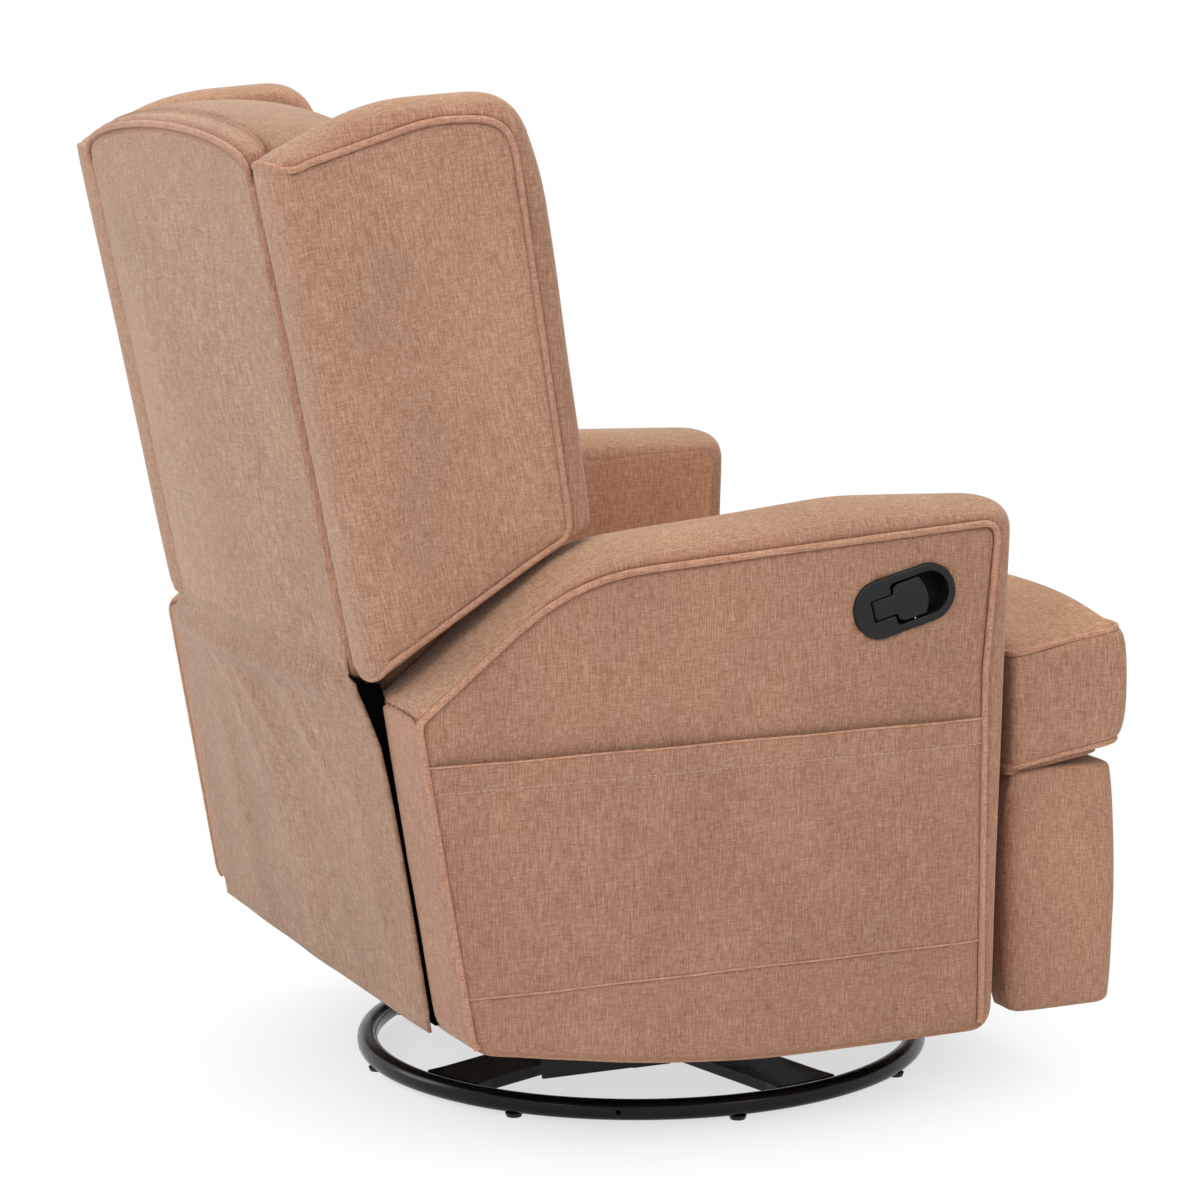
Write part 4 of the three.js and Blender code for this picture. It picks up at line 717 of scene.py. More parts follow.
def sawn_wood(name, colour, along):
    across, lengthwise = 160, 6
    look = Look(name, colour, 0.75)
    scales = [across] * 3
    scales[along] = lengthwise
    grain = look.noise(look.stretched(look.place, scales), 1.0, 4.0, 0.6)
    look.shade("Base Color", look.shades(grain, colour, [(0.3, 0.62), (0.55, 1), (0.8, 1.2)]))
    look.bump(grain, 0.3, 0.0008)
    return look.made


def make_materials():
    leaning = atan(BACK.lean)
    pine = (0.55, 0.37, 0.20)
    # The fabric copies share one cloth, and their levels are painted light and shade: lit and shaded
    # copies for the way each face points, such as lighter tops (band, deep), lighter inner arm faces
    # (inner), rear faces tinted for the light from behind (back), and the flap darker than the back, as
    # if in shade (flap).
    return {
        "panel": fabric("fabric_panel", 2, 0.84),
        "inner": fabric("fabric_inner", 2, (1.08, 1.08, 1.00)),
        "side": fabric("fabric_side", 2, 0.88, flat=0),
        "front": fabric("fabric_front", 2, 0.90, flat=1),
        "wing": fabric("fabric_wing", 2, (0.92, 0.97, 0.97), leaning),
        "back": fabric("fabric_back", 2, (0.91, 1.01, 1.05), leaning, 1, 1.8),
        "flap": fabric("fabric_flap", 2, (0.83, 0.92, 0.96), leaning, 1, 1.8, REST_PLACE),
        "band": fabric("fabric_band", 0, (0.90, 0.98, 0.95)),
        "deep": fabric("fabric_deep", 1, (0.92, 0.97, 0.90)),
        "crown": fabric("fabric_crown", 1, (0.81, 0.89, 0.84)),
        "piping": fabric("fabric_piping", 1, 1.04),
        # A lighter copy for the pocket's folded hem and seam: a painted highlight.
        "hem": fabric("fabric_fold_painted_highlight", 1, 1.14),
        "thread": plain_thread("pale_thread", (0.50, 0.36, 0.27)),
        "seam": plain_thread("seam_thread", (0.20, 0.10, 0.062)),
        "black_steel": gloss_paint("black_steel_paint", (0.0045, 0.0045, 0.0050)),
        "zinc": bare_metal("zinc_steel", (0.55, 0.56, 0.58), 0.38, (300, 300, 40)),
        "spring": bare_metal("spring_steel", (0.12, 0.125, 0.13), 0.42, (200, 200, 200)),
        "plastic": grained_plastic("black_plastic", (0.0060, 0.0060, 0.0064), 0.40),
        "paddle": grained_plastic("lever_plastic", (0.0068, 0.0068, 0.0072), 0.36, 1200.0, 0.4),
        "glide": grained_plastic("glide_plastic", (0.012, 0.012, 0.012), 0.5),
        "wood_across": sawn_wood("wood_across", pine, 0),
        "wood_up": sawn_wood("wood_up", pine, 2),
        # Black with no gloss: painted shade for the dark gaps behind the flap.
        "lining": plain_thread("painted_shade_black", (0.0015, 0.0015, 0.0015), 0.0),
    }


def dress(piece, *made):
    """The faces keep the numbers of their materials."""
    slots = [min(polygon.material_index, len(made) - 1) for polygon in piece.data.polygons]
    piece.data.materials.clear()
    for one in made:
        piece.data.materials.append(one)
    piece.data.polygons.foreach_set("material_index", slots)


def dress_by_facing(piece, looks, kept=(), upward="deep"):
    """Each face of the cloth takes the weave of the way it faces, and that copy's level: painted
    light and shade, lighter or darker by the way the face points. Material slots in kept stay.
    """
    names = ("side", "front", upward)
    for name in names:
        piece.data.materials.append(looks[name])
    first = len(piece.data.materials) - len(names)
    for polygon in piece.data.polygons:
        if polygon.material_index not in kept:
            facing_axis = max(range(3), key=lambda k: abs(polygon.normal[k]))
            polygon.material_index = first + facing_axis


def finish_fabric(piece, node, *made):
    """Dresses a piece of cloth, and hides the solid that it stands for, if there is one."""
    dress(piece, *made)
    if node:
        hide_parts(node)


def finish_hard(piece, look, node=None):
    dress(piece, look)
    if node:
        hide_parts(node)


def add_cord(name, path, body, look, radius=PIPING, sides=10):
    finish_fabric(swept_tube(name, path, radius, body, sides), None, look)


# Camera, lights and floor


def make_camera():
    data = bpy.data.cameras.new("camera")
    data.sensor_width = CAMERA.sensor
    data.sensor_fit = "HORIZONTAL"
    data.lens = CAMERA.focal_pixels / CAMERA.picture_pixels * CAMERA.sensor
    data.clip_end = CAMERA.farthest
    camera = bpy.data.objects.new("camera", data)
    added(camera)
    yaw, pitch, roll = (radians(turn) for turn in CAMERA.turns)
    ahead = Vector((cos(yaw) * cos(pitch), -sin(yaw) * cos(pitch), -sin(pitch)))
    right = ahead.cross(Vector((0, 0, 1))).normalized()
    up = right.cross(ahead)
    turned_right = right * cos(roll) + up * sin(roll)
    turned_up = up * cos(roll) - right * sin(roll)
    turn = Matrix((turned_right, turned_up, -ahead)).transposed().to_4x4()
    camera.matrix_world = Matrix.Translation(AXIS + Vector(CAMERA.place)) @ turn
    bpy.context.scene.camera = camera


def make_lamp(name, place, aim, size, power, colour):
    data = bpy.data.lights.new(name, "AREA")
    data.shape = "DISK"
    data.size = size
    data.energy = power
    data.color = colour
    lamp = bpy.data.objects.new(name, data)
    lamp.location = place
    lamp.rotation_euler = (Vector(aim) - Vector(place)).to_track_quat("-Z", "Y").to_euler()
    added(lamp)


def seen_rays(tree):
    """1 for what the camera sees, also in gloss and through glass, and 0 for what lights the object."""
    path = tree.nodes.new("ShaderNodeLightPath")
    seen = path.outputs["Is Camera Ray"]
    for kind in ("Is Glossy Ray", "Is Transmission Ray"):
        either = tree.nodes.new("ShaderNodeMath")
        either.operation = "MAXIMUM"
        tree.links.new(seen, either.inputs[0])
        tree.links.new(path.outputs[kind], either.inputs[1])
        seen = either.outputs[0]
    return seen


def make_world():
    world = bpy.data.worlds.new("studio")
    world.use_nodes = True
    tree = world.node_tree
    lighting = tree.nodes["Background"]
    backdrop = tree.nodes.new("ShaderNodeBackground")
    for node, colour, strength in ((lighting, WORLD.colour, WORLD.strength), (backdrop, WHITE, 1.0)):
        node.inputs["Color"].default_value = colour
        node.inputs["Strength"].default_value = strength
    mixed = tree.nodes.new("ShaderNodeMixShader")
    tree.links.new(seen_rays(tree), mixed.inputs[0])
    tree.links.new(lighting.outputs[0], mixed.inputs[1])
    tree.links.new(backdrop.outputs[0], mixed.inputs[2])
    tree.links.new(mixed.outputs[0], tree.nodes["World Output"].inputs["Surface"])
    bpy.context.scene.world = world


def make_floor():
    """A pale floor that keeps a lightened shadow of the chair and turns into the white backdrop
    around it. Near the base, white glow seen by the camera covers part of the shadow: painted light.
    """
    half = FLOOR.half
    corners = [from_axis(x * half, y * half, 0) for x, y in ((-1, -1), (1, -1), (1, 1), (-1, 1))]
    floor = new_object("floor", corners, [(0, 1, 2, 3)], None)
    look = Look("pale_floor", FLOOR.colour, 0.9, Specular_IOR_Level=0.1)
    distance = look.add("VectorMath", {"operation": "DISTANCE"}, i0=look.place, i1=tuple(AXIS))
    away = look.remap(distance.outputs["Value"], FLOOR.clear, FLOOR.fade, FLOOR.least, 1.0)
    amount = look.math("MULTIPLY", away, seen_rays(look.tree))
    glow = look.add("Emission", Color=WHITE, Strength=1.0)
    mixed = look.add("MixShader", i0=amount, i1=look.shader.outputs[0], i2=glow.outputs[0])
    look.set(look.tree.nodes["Material Output"], "Surface", mixed.outputs[0])
    floor.data.materials.append(look.made)


def make_lights():
    for name, settings in LAMPS.items():
        make_lamp(name, *settings)


# Round base


def squared(value, power):
    """A sine or cosine of a round section, drawn out towards a square one."""
    return copysign(abs(value) ** power, value)


def make_base(looks):
    radius = (ring_high.x - ring_low.x) / 2
    half_width, half_height = RING.width / 2, (ring_high.z - ring_low.z) / 2
    middle = radius - half_width
    height = (ring_low.z + ring_high.z) / 2
    around, section = RING.around, RING.section
    vertices = []
    for i in range(around):
        angle = 2 * pi * i / around
        for k in range(section):
            turn = 2 * pi * k / section
            out = middle + half_width * squared(cos(turn), RING.squareness)
            z = height + half_height * squared(sin(turn), RING.squareness)
            vertices.append(from_axis(out * cos(angle), out * sin(angle), z))
    faces = []
    for i in range(around):
        for k in range(section):
            a, b = i * section, (i + 1) % around * section
            faces.append((a + k, b + k, b + (k + 1) % section, a + (k + 1) % section))
    ring = new_object("base_ring_tube", vertices, faces, "base")
    turn = radians(RING.drain_angle)
    drain = [
        from_axis(out * cos(turn), out * sin(turn), height)
        for out in (middle, radius + RING.width)
    ]
    cut_away(ring, swept_tube("drain", drain, RING.drain_radius, None, wobble=0))
    finish_hard(ring, looks["black_steel"], "base_ring")


# Arms


def make_arm(side, looks):
    name = SIDE_NAMES[side]
    half = ARM.thickness / 2
    place = side_place(side, ARM.inner + half)
    face = arm_outline(ARM_FACE_SHARES)
    crest = arm_outline(ARM_CREST_SHARES)
    centre = (
        ARM.front + ARM.length * ARM.centre_share,
        ARM.bottom + ARM.height * ARM.centre_share,
    )
    arm = upholstered(
        "arm_cover_" + name, "seat_frame", place, crest, (face, face), ARM.thickness,
        (ARM.crown, 0), centre, groove=SEAM.depth, bend=ARM.squareness,
    )
    # A short seam crosses the band at the rear shoulder, two thirds of the way round it
    shoulder = PER_CORNER * REAR_SHOULDER + CURVE_MIDDLE
    across = [
        edge_point(place, crest, (face, face), half, shoulder, pi * k / 24, ARM.squareness)
        for k in range(25)
    ]
    ruffled(arm, "arm", side)
    finish_fabric(arm, "arm_" + name, looks["panel"], looks["band"])
    subdivided(arm)
    dress_by_facing(arm, looks, (0,), "band")
    # The inner face takes a lighter copy of the cloth: painted light, as if more light reached it.
    arm.data.materials.append(looks["inner"])
    for polygon in arm.data.polygons:
        if polygon.material_index == 0 and side * (polygon.center.x - AXIS.x) < ARM.inner + half:
            polygon.material_index = len(arm.data.materials) - 1
    carved(arm, across, SEAM.depth, SEAM.width)
    crease = softened(resampled(onto_surface(arm, across[:17], SEAM.lift)), 3)
    add_cord("arm_shoulder_seam_" + name, crease, "seat_frame", looks["seam"], SEAM.thread, 6)
    if side == RIGHT:
        recessed(arm)
        cut_away(arm, bezel_hole())
    # From the bottom of the rear, over the top, to the bottom of the front
    first_rear = PER_CORNER * REAR_FOOT + CURVE_MIDDLE - 1
    path = [place(*face[i], half + PIPING_OUT) for i in range(first_rear, CURVE_MIDDLE, -1)]
    add_cord("arm_piping_" + name, resampled(path), "seat_frame", looks["piping"])


def panel_edges(z):
    """Where the arm's outer panel starts at the front and ends at the rear, at a height."""
    def at(first, second):
        (y0, z0), (y1, z1) = (
            (ARM.front + along * ARM.length, ARM.bottom + up * ARM.height)
            for along, up, _ in (ARM_FACE_SHARES[first], ARM_FACE_SHARES[second])
        )
        return y0 + (y1 - y0) * (z - z0) / (z1 - z0)
    return at(FRONT_FOOT, FRONT_RISE), at(REAR_FOOT, REAR_SHOULDER)


def eased(value, start, end):
    """0 up to the start and 1 from the end, with a smooth rise between."""
    share = min(1, max(0, (value - start) / (end - start)))
    return share * share * (3 - 2 * share)


def recessed(arm):
    """Draws the right arm's outer face in behind the pocket, and a little above its hem."""
    gap, ease = POCKET.side_gap, POCKET.ease
    for vertex in arm.data.vertices:
        x, y, z = vertex.co - AXIS
        if x > -ARM_OUTER + ARM.thickness / 4:
            continue
        front, rear = panel_edges(z)
        depth = eased(y, front + gap, front + gap + ease)
        depth *= eased(y, rear - gap, rear - gap - ease)
        depth *= eased(z, POCKET.bottom, POCKET.bottom + ease)
        depth *= eased(z, POCKET.top + POCKET.mouth, POCKET.top)
        vertex.co.x += POCKET.recess * depth
    arm.data.update()


# Side pocket, on the right arm


def pocket_places(z, count):
    front, rear = panel_edges(z)
    return np.linspace(front + POCKET.side_inset, rear - POCKET.side_inset, count)


def pocket_surface(y, z):
    """How far out the pocket's cloth stands: held at its seams, a little slack in between."""
    front, rear = panel_edges(z)
    across = 1 - abs(2 * (y - front) / (rear - front) - 1) ** 8
    up = (z - POCKET.bottom) / (POCKET.top - POCKET.bottom)
    above_stitches = z - POCKET.top + POCKET.hem
    out = ARM_OUTER + ARM.crown * across
    out += POCKET.slack * across * eased(up, 0, POCKET.slack_start)
    out += POCKET.hem_fold * eased(above_stitches, POCKET.hem_start, POCKET.hem_end)
    out -= POCKET.stitch_sink * exp(-(above_stitches / POCKET.stitch_width) ** 2)
    held = 0.35
    ripple = sum(height * noise.noise(Vector((y * waves_along, z * waves_up, SEED)))
                 for waves_along, waves_up, height in POCKET_RIPPLES)
    return out + ripple * across * (held + (1 - held) * up)


def along_pocket(z, lift, sag=0.0, count=220, wave=9):
    return [
        from_axis(-(pocket_surface(y, z) + lift), y, z - sag * sin(k / wave))
        for k, y in enumerate(pocket_places(z, count))
    ]


def add_stitches(name, path, length, gap, look, fineness=0.0005, sides=6):
    """A row of short threads along a path, in one mesh. Each is thinner at its ends."""
    points = resampled(path, fineness)
    per_stitch, per_gap = round(length / fineness), round(gap / fineness)
    vertices, faces = [], []
    start = 0
    while start + per_stitch < len(points):
        ends = Vector(points[start]), Vector(points[start + per_stitch])
        ahead = (ends[1] - ends[0]).normalized()
        across = ahead.orthogonal().normalized()
        first = len(vertices)
        for share, swell in ((0, 0.35), (0.2, 1), (0.8, 1), (1, 0.35)):
            middle = ends[0].lerp(ends[1], share)
            radius = THREAD.radius * swell
            vertices += [middle + spoke * radius for spoke in spokes(across, ahead.cross(across), sides)]
        for row in range(3):
            faces += wrapped(first + row * sides, sides)
        faces.append(tuple(first + k for k in reversed(range(sides))))
        faces.append(tuple(first + 3 * sides + k for k in range(sides)))
        start += per_stitch + per_gap
    finish_fabric(new_object(name, vertices, faces, "seat_frame"), None, look)


def make_pocket(looks):
    columns, rows = 130, 64
    top, bottom = POCKET.top, POCKET.bottom
    grids = [[], []]
    for row in range(rows + 1):
        z = bottom + (top - bottom) * row / rows
        for layer in (0, 1):
            grids[layer].append([
                from_axis(-(pocket_surface(y, z) - POCKET.thickness * (1 - layer)), y, z)
                for y in pocket_places(z, columns)
            ])
    pocket = cloth_sheet("side_pocket_cloth", *grids, "seat_frame")
    finish_fabric(pocket, "side_pocket", looks["panel"])
    width = max(rear - front for front, rear in (panel_edges(bottom), panel_edges(top)))
    # The hem and seam cords take the lighter copy of the cloth: a painted highlight where the folded
    # edges catch the light.
    for name, z, radius in (("hem", top, POCKET.hem_radius), ("seam", bottom, POCKET.seam_radius)):
        path = resampled(along_pocket(z, -POCKET.edge_sink, POCKET.hem_sag), 0.003)
        add_cord("pocket_" + name, path, "seat_frame", looks["hem"], radius, 8)
    stitch_line = top - POCKET.hem
    path = along_pocket(stitch_line, THREAD.lift)
    add_stitches("pocket_stitches", path, THREAD.length, THREAD.gap, looks["thread"])
    for number, y in enumerate(POCKET.tacks, 1):
        path = [
            from_axis(-(pocket_surface(y, z) + THREAD.tack_lift),
                      y + THREAD.sway * sin(z * THREAD.sways), z)
            for z in np.linspace(stitch_line, top - THREAD.tack_top, 50)
        ]
        add_stitches("pocket_tack_%d" % number, path, THREAD.tack_length, THREAD.tack_gap,
                     looks["thread"])


# Release handle, on the right arm


def handle_place(along, across, out):
    tilt = radians(BEZEL.tilt)
    return from_axis(
        -(ARM_OUTER + ARM.crown + out),
        BEZEL.y - along * cos(tilt) + across * sin(tilt),
        BEZEL.z + along * sin(tilt) + across * cos(tilt),
    )


def stadium(inset=0.0, steps=60):
    """The bezel's outline, two half circles with a straight between them, moved inwards."""
    half, radius = BEZEL.spacing / 2, BEZEL.radius - inset
    turns = [pi * (k / steps - 0.5) for k in range(steps + 1)]
    front = [(half + radius * cos(a), radius * sin(a)) for a in turns]
    rear = [(-half - radius * cos(a), -radius * sin(a)) for a in turns]
    return np.array(front + rear)


def grown(outline, amount):
    """A closed outline, moved outwards."""
    ahead = np.roll(outline, -1, 0) - np.roll(outline, 1, 0)
    outward = np.stack([ahead[:, 1], -ahead[:, 0]], 1)
    return outline + outward / np.linalg.norm(outward, axis=1, keepdims=True) * amount


def around(outline, spacing=0.0006):
    """Points at even steps along a closed outline."""
    closed = np.vstack([outline, outline[:1]])
    lengths = np.r_[0, np.cumsum(np.linalg.norm(np.diff(closed, axis=0), axis=1))]
    targets = np.linspace(0, lengths[-1], int(lengths[-1] / spacing), endpoint=False)
    return np.stack([np.interp(targets, lengths, closed[:, k]) for k in range(2)], axis=1)


def facing(outline, points, centre, fineness=0.0002):
    """For each of the points, the outline's place in the same direction from the centre."""
    def directions(places):
        return np.arctan2(places[:, 1] - centre[1], places[:, 0] - centre[0])
    outline = around(outline, fineness)
    angles = directions(outline)
    order = np.argsort(angles)
    wanted = directions(points)
    return np.stack([
        np.interp(wanted, angles[order], outline[order, k], period=2 * pi) for k in range(2)
    ], axis=1)


def cut_away(piece, tool):
    modifier = piece.modifiers.new("cut", "BOOLEAN")
    modifier.operation = "DIFFERENCE"
    modifier.object = tool
    modifier.solver = "EXACT"
    apply_modifiers(piece)
    bpy.data.objects.remove(tool)
    smooth(piece)


def bezel_hole():
    """A solid as large as the bezel's body, to cut its place in the arm's cover."""
    outline = stadium(BEZEL.lip - CONTACT, 24)
    ends = (BEZEL.cutter, -BEZEL.depth - CONTACT)
    loops = [[handle_place(u, v, out) for u, v in outline] for out in ends]
    return loft("handle_hole", loops, *(handle_place(0, 0, out) for out in ends), None)


def make_bezel(looks):
    rear = -(BEZEL.spacing / 2 + BEZEL.radius)
    inner = BEZEL.radius - BEZEL.rim
    front = BEZEL.spacing / 2
    slot_end, mouth_rear = rear + BEZEL.slot_rear, rear + BEZEL.mouth_rear
    corners = [
        (slot_end, -BEZEL.slot, BEZEL.slot_corner),
        (mouth_rear, -BEZEL.slot, BEZEL.neck_corner),
        (mouth_rear, -inner, BEZEL.mouth_corner),
    ]
    turns = [pi * (k / 24 - 0.5) for k in range(25)]
    arc = [(front + inner * cos(a), inner * sin(a), 0.0) for a in turns]
    mouth = around(rounded_outline(corners + arc + [(u, -v, r) for u, v, r in corners[::-1]], 8, 4))
    centre = (mouth_rear + BEZEL.centre_ahead, 0)
    edge, rounding, top = BEZEL.edge, BEZEL.outer_edge, BEZEL.proud
    floor = BEZEL.wall - BEZEL.depth
    loops = []

    def add(outline, out):
        loops.append([handle_place(u, v, out) for u, v in outline])

    def outer(inset):
        return facing(stadium(inset), mouth, centre)
    add(outer(BEZEL.radius / 2), -BEZEL.depth)
    add(outer(BEZEL.lip), -BEZEL.depth)
    add(outer(BEZEL.lip), -ARM.crown)
    add(outer(0), -ARM.crown)
    for angle in QUARTER_TURN:
        add(outer(rounding * (1 - cos(angle))), top - rounding * (1 - sin(angle)))
    add(outer(rounding + BEZEL.land), top)
    add(grown(mouth, edge + BEZEL.mouth_land), top)
    for angle in QUARTER_TURN:
        add(grown(mouth, edge * (1 - sin(angle))), top - edge * (1 - cos(angle)))
    add(mouth, -BEZEL.mouth_lip)
    add(mouth, floor)
    tips = [handle_place(*centre, out) for out in (-BEZEL.depth, floor)]
    bezel = loft("release_bezel", loops, *tips, "seat_frame")
    finish_hard(bezel, looks["plastic"], "handle_bezel")


def lever_outline():
    """From above: a neck that ends in the slot, and a head that widens and rounds to the front."""
    rear = -(BEZEL.spacing / 2 + BEZEL.radius)
    neck, wide = BEZEL.slot - LEVER.gap, LEVER.half_width
    shoulder = rear + BEZEL.mouth_rear + 2 * LEVER.gap
    front = rear + LEVER.length
    side = [
        (rear + BEZEL.slot_rear + LEVER.rear_gap, neck, LEVER_RADII.rear),
        (shoulder, neck, LEVER_RADII.neck),
        (shoulder + LEVER.shoulder_run, wide * 0.84, LEVER_RADII.shoulder),
        (shoulder + wide * 0.36, wide, LEVER_RADII.shoulder),
        (front - wide * 0.34, wide, LEVER_RADII.shoulder),
        (front - wide * 0.1, wide * 0.5, LEVER_RADII.front),
    ]
    mirrored = [(u, -v, r) for u, v, r in side]
    outline = rounded_outline(mirrored + [(front, 0, LEVER_RADII.front)] + side[::-1], 8, 4)
    return around(outline), np.array((shoulder + wide * 0.9, 0)), rear + LEVER.pin_from_rear


def make_lever(looks):
    outline, centre, pin = lever_outline()
    top = BEZEL.proud - LEVER.sink
    bottom = top - LEVER.thickness
    edge = LEVER.edge
    loops = []

    def rounded_off(u, out):
        """Behind its pin the lever is round, and turns clear of the slot's end."""
        behind = max(0, pin - u)
        return min(out, sqrt(LEVER.barrel ** 2 - behind ** 2) - LEVER.pin_depth)

    def add(points, out):
        loops.append([handle_place(u, v, rounded_off(u, out)) for u, v in points])
    for share in (0.6, 0.95, 1):
        add(centre + (outline - centre) * share, bottom)
    for angle in QUARTER_TURN:
        add(grown(outline, -edge * (1 - cos(angle))), top - edge * (1 - sin(angle)))
    inside = grown(outline, -edge)
    for share in (0.97, 0.85, 0.7, 0.5, 0.25):
        add(centre + (inside - centre) * share, top + LEVER.bulge * (1 - share ** 2.5))
    tips = [handle_place(*centre, bottom), handle_place(*centre, top + LEVER.bulge)]
    lever = loft("release_lever", loops, *tips, "handle")
    finish_hard(lever, looks["paddle"], "handle_lever")


def make_screw(looks):
    """The round head of a screw in the bezel's cup."""
    head = bpy.data.meshes.new("cup_screw")
    shape = bmesh.new()
    bmesh.ops.create_uvsphere(shape, u_segments=16, v_segments=10, radius=SCREW.radius)
    shape.to_mesh(head)
    shape.free()
    screw = bpy.data.objects.new("cup_screw", head)
    screw.location = handle_place(SCREW.along, SCREW.across, 0.0)
    added(screw)
    smooth(screw)
    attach(screw, "seat_frame")
    finish_hard(screw, looks["zinc"])


# Back


def round_arch(x, half):
    """The height of an arch over its ends, as a share of its rise."""
    return sqrt(max(0, 1 - (x / half) ** 2))


def arch_outline(half, bottom, shoulder, rise, columns=36, rows=22):
    """Up one side, over an arch and down the other, then back along the bottom."""
    points = [(-half + 2 * half * k / columns, bottom) for k in range(columns + 1)]
    points += [(half, bottom + (shoulder - bottom) * k / rows) for k in range(1, rows)]
    for k in range(columns + 1):
        x = half * cos(pi * k / columns)
        points.append((x, shoulder + rise * round_arch(x, half)))
    points += [(-half, shoulder - (shoulder - bottom) * k / rows) for k in range(1, rows)]
    return np.array(points)


def panel_bulge(x, z):
    """How far the back's outer panel stands out of the line of its seams."""
    up = (z - BACK.bottom) / (BACK.seam_top + BACK.arch - BACK.bottom)
    across = max(0, 1 - (x / BACK.half_width) ** 2)
    return BACK.panel_crown * across * (1 - max(0, up) ** 4)


def make_back_panel(looks):
    half = BACK.half_width
    thickness = BACK.panel
    rise = BACK.panel_rise

    def place(x, z, w):
        outer = 0.5 + w / thickness
        return from_axis(x, rear_line(z) - thickness / 2 + w + panel_bulge(x, z) * outer, z)

    def arch(inset, lift):
        bottom, shoulder = BACK.bottom + inset, BACK.seam_top - inset + lift
        return arch_outline(half - inset, bottom, shoulder, BACK.arch)
    faces = (arch(BACK.panel_front_inset, 0), arch(BACK.panel_rear_inset, rise))
    centre = (0, BACK.bottom + (BACK.seam_top - BACK.bottom) * BACK.centre_share)
    panel = upholstered(
        "back_cover", "back", place, arch(0.0, rise / 2), faces, thickness, (0, 0), centre, steps=6,
    )
    ruffled(panel, "back")
    finish_fabric(panel, "back_panel", looks["back"], looks["band"])
    subdivided(panel)
    dress_by_facing(panel, looks, (0,), "band")
    path = []
    for x in np.linspace(-half, half, 61):
        z = BACK.seam_top + BACK.arch * round_arch(x, half) - BACK.cord_drop
        path.append(from_axis(x, rear_line(z) + panel_bulge(x, z) + PIPING_OUT, z))
    # Its ends run down into the seams with the wings
    down = Vector((0, -BACK.lean, -1)) * 3 * PIPING
    path = [path[0] + down] + path + [path[-1] + down]
    add_cord("arch_piping", softened(resampled(path, 0.002), 1), "back", looks["piping"])


def make_back_pad(looks):
    depth, slack = BACK.pad_depth, BACK.pad_slack
    middle = BACK.panel + CONTACT + depth / 2
    half_width = BACK.half_width - WING.gap / 2
    bottom, shoulder, top = BACK.pad_bottom, BACK.pad_shoulder, BACK.pad_top

    def place(x, z, w):
        return from_axis(x, rear_line(z) - middle - w, z)

    def outline(inset):
        return arch_outline(half_width - inset, bottom + inset, shoulder - inset, top - shoulder)
    faces = (outline(BACK.pad_edge), outline(BACK.pad_rear_edge))
    pad = upholstered(
        "back_cushion", "back", place, outline(slack), faces, depth - 2 * slack,
        (BACK.pad_crown - slack, 0), (0, (bottom + top) / 2), power=BACK.pad_flatness,
    )
    stuffed(pad, BACK.pad_swell, BACK.pad_voxel)
    finish_fabric(pad, "back_pad", looks["crown"])
    dress_by_facing(pad, looks, (), "crown")


def make_wing(side, looks):
    name = SIDE_NAMES[side]
    half = WING.thickness / 2
    place = side_place(side, BACK.half_width + WING.gap + half)
    crest, face, inner = (
        wing_outline(shares) for shares in (WING_CREST_SHARES, WING_FACE_SHARES, WING_INNER_SHARES)
    )
    middle = rear_line(WING.bottom + WING.height / 2) - WING.length / 2
    centre = (middle, WING.bottom + WING.height * WING.centre_share)
    # The rear is squarer than the rest, and the outer panel's cloth runs round it to the seam
    first, last = CURVE_MIDDLE, PER_CORNER * (len(WING_CREST_SHARES) - 1) + CURVE_MIDDLE
    squareness = np.full(len(crest), WING.squareness)
    squareness[first:last] = 1
    seam_depth = np.zeros(len(crest))
    seam_depth[first:last] = SEAM.depth
    wing = upholstered("wing_cover_" + name, "back", place, crest, (face, inner), WING.thickness,
                       (WING.crown, 0), centre, groove=seam_depth, bend=squareness,
                       band_points=range(first, last))
    turn = [pi * k / 16 for k in range(1, 15)]

    def corner(index):
        return [
            edge_point(place, crest, (face, inner), half, index, angle, WING.squareness)
            for angle in turn
        ]
    path = corner(first)[::-1]
    path += [place(*face[i], half + PIPING_OUT) for i in range(first, last + 1)]
    path += corner(last)
    ruffled(wing, "wing", side)
    finish_fabric(wing, "wing_" + name, looks["wing"], looks["band"])
    subdivided(wing)
    dress_by_facing(wing, looks, (0,), "band")
    add_cord("wing_piping_" + name, softened(resampled(path), 3), "back", looks["piping"])


# Lower back flap


def flap_surface(x, z):
    """Where the cloth would hang without its folds: behind the arms' rear faces."""
    along, up, _ = ARM_FACE_SHARES[REAR_FOOT]
    foot_y = ARM.front + along * ARM.length
    foot_z = ARM.bottom + up * ARM.height
    plane = foot_y + FLAP.lean * (z - foot_z) + FLAP.stand_off
    up = (z - FLAP.bottom) / (BACK.bottom - FLAP.bottom)
    crown = FLAP.bottom_crown + (FLAP.top_crown - FLAP.bottom_crown) * up
    return plane + crown * (1 - (x / FLAP.half_width) ** 2) + FLAP.flare * up ** 5


def flap_half_width(z, side):
    """How far the flap reaches to a side. It narrows to the back's panel, which it lies on."""
    if z > BACK.bottom - CONTACT:
        return BACK.half_width - FLAP.side_inset
    if side == LEFT:
        return float(np.interp(z, *zip(*FLAP_LEFT_EDGE)))
    share = max(0, (z - FLAP.shoulder) / (BACK.bottom - FLAP.shoulder))
    return FLAP.half_width + (FLAP.corner - FLAP.half_width) * share


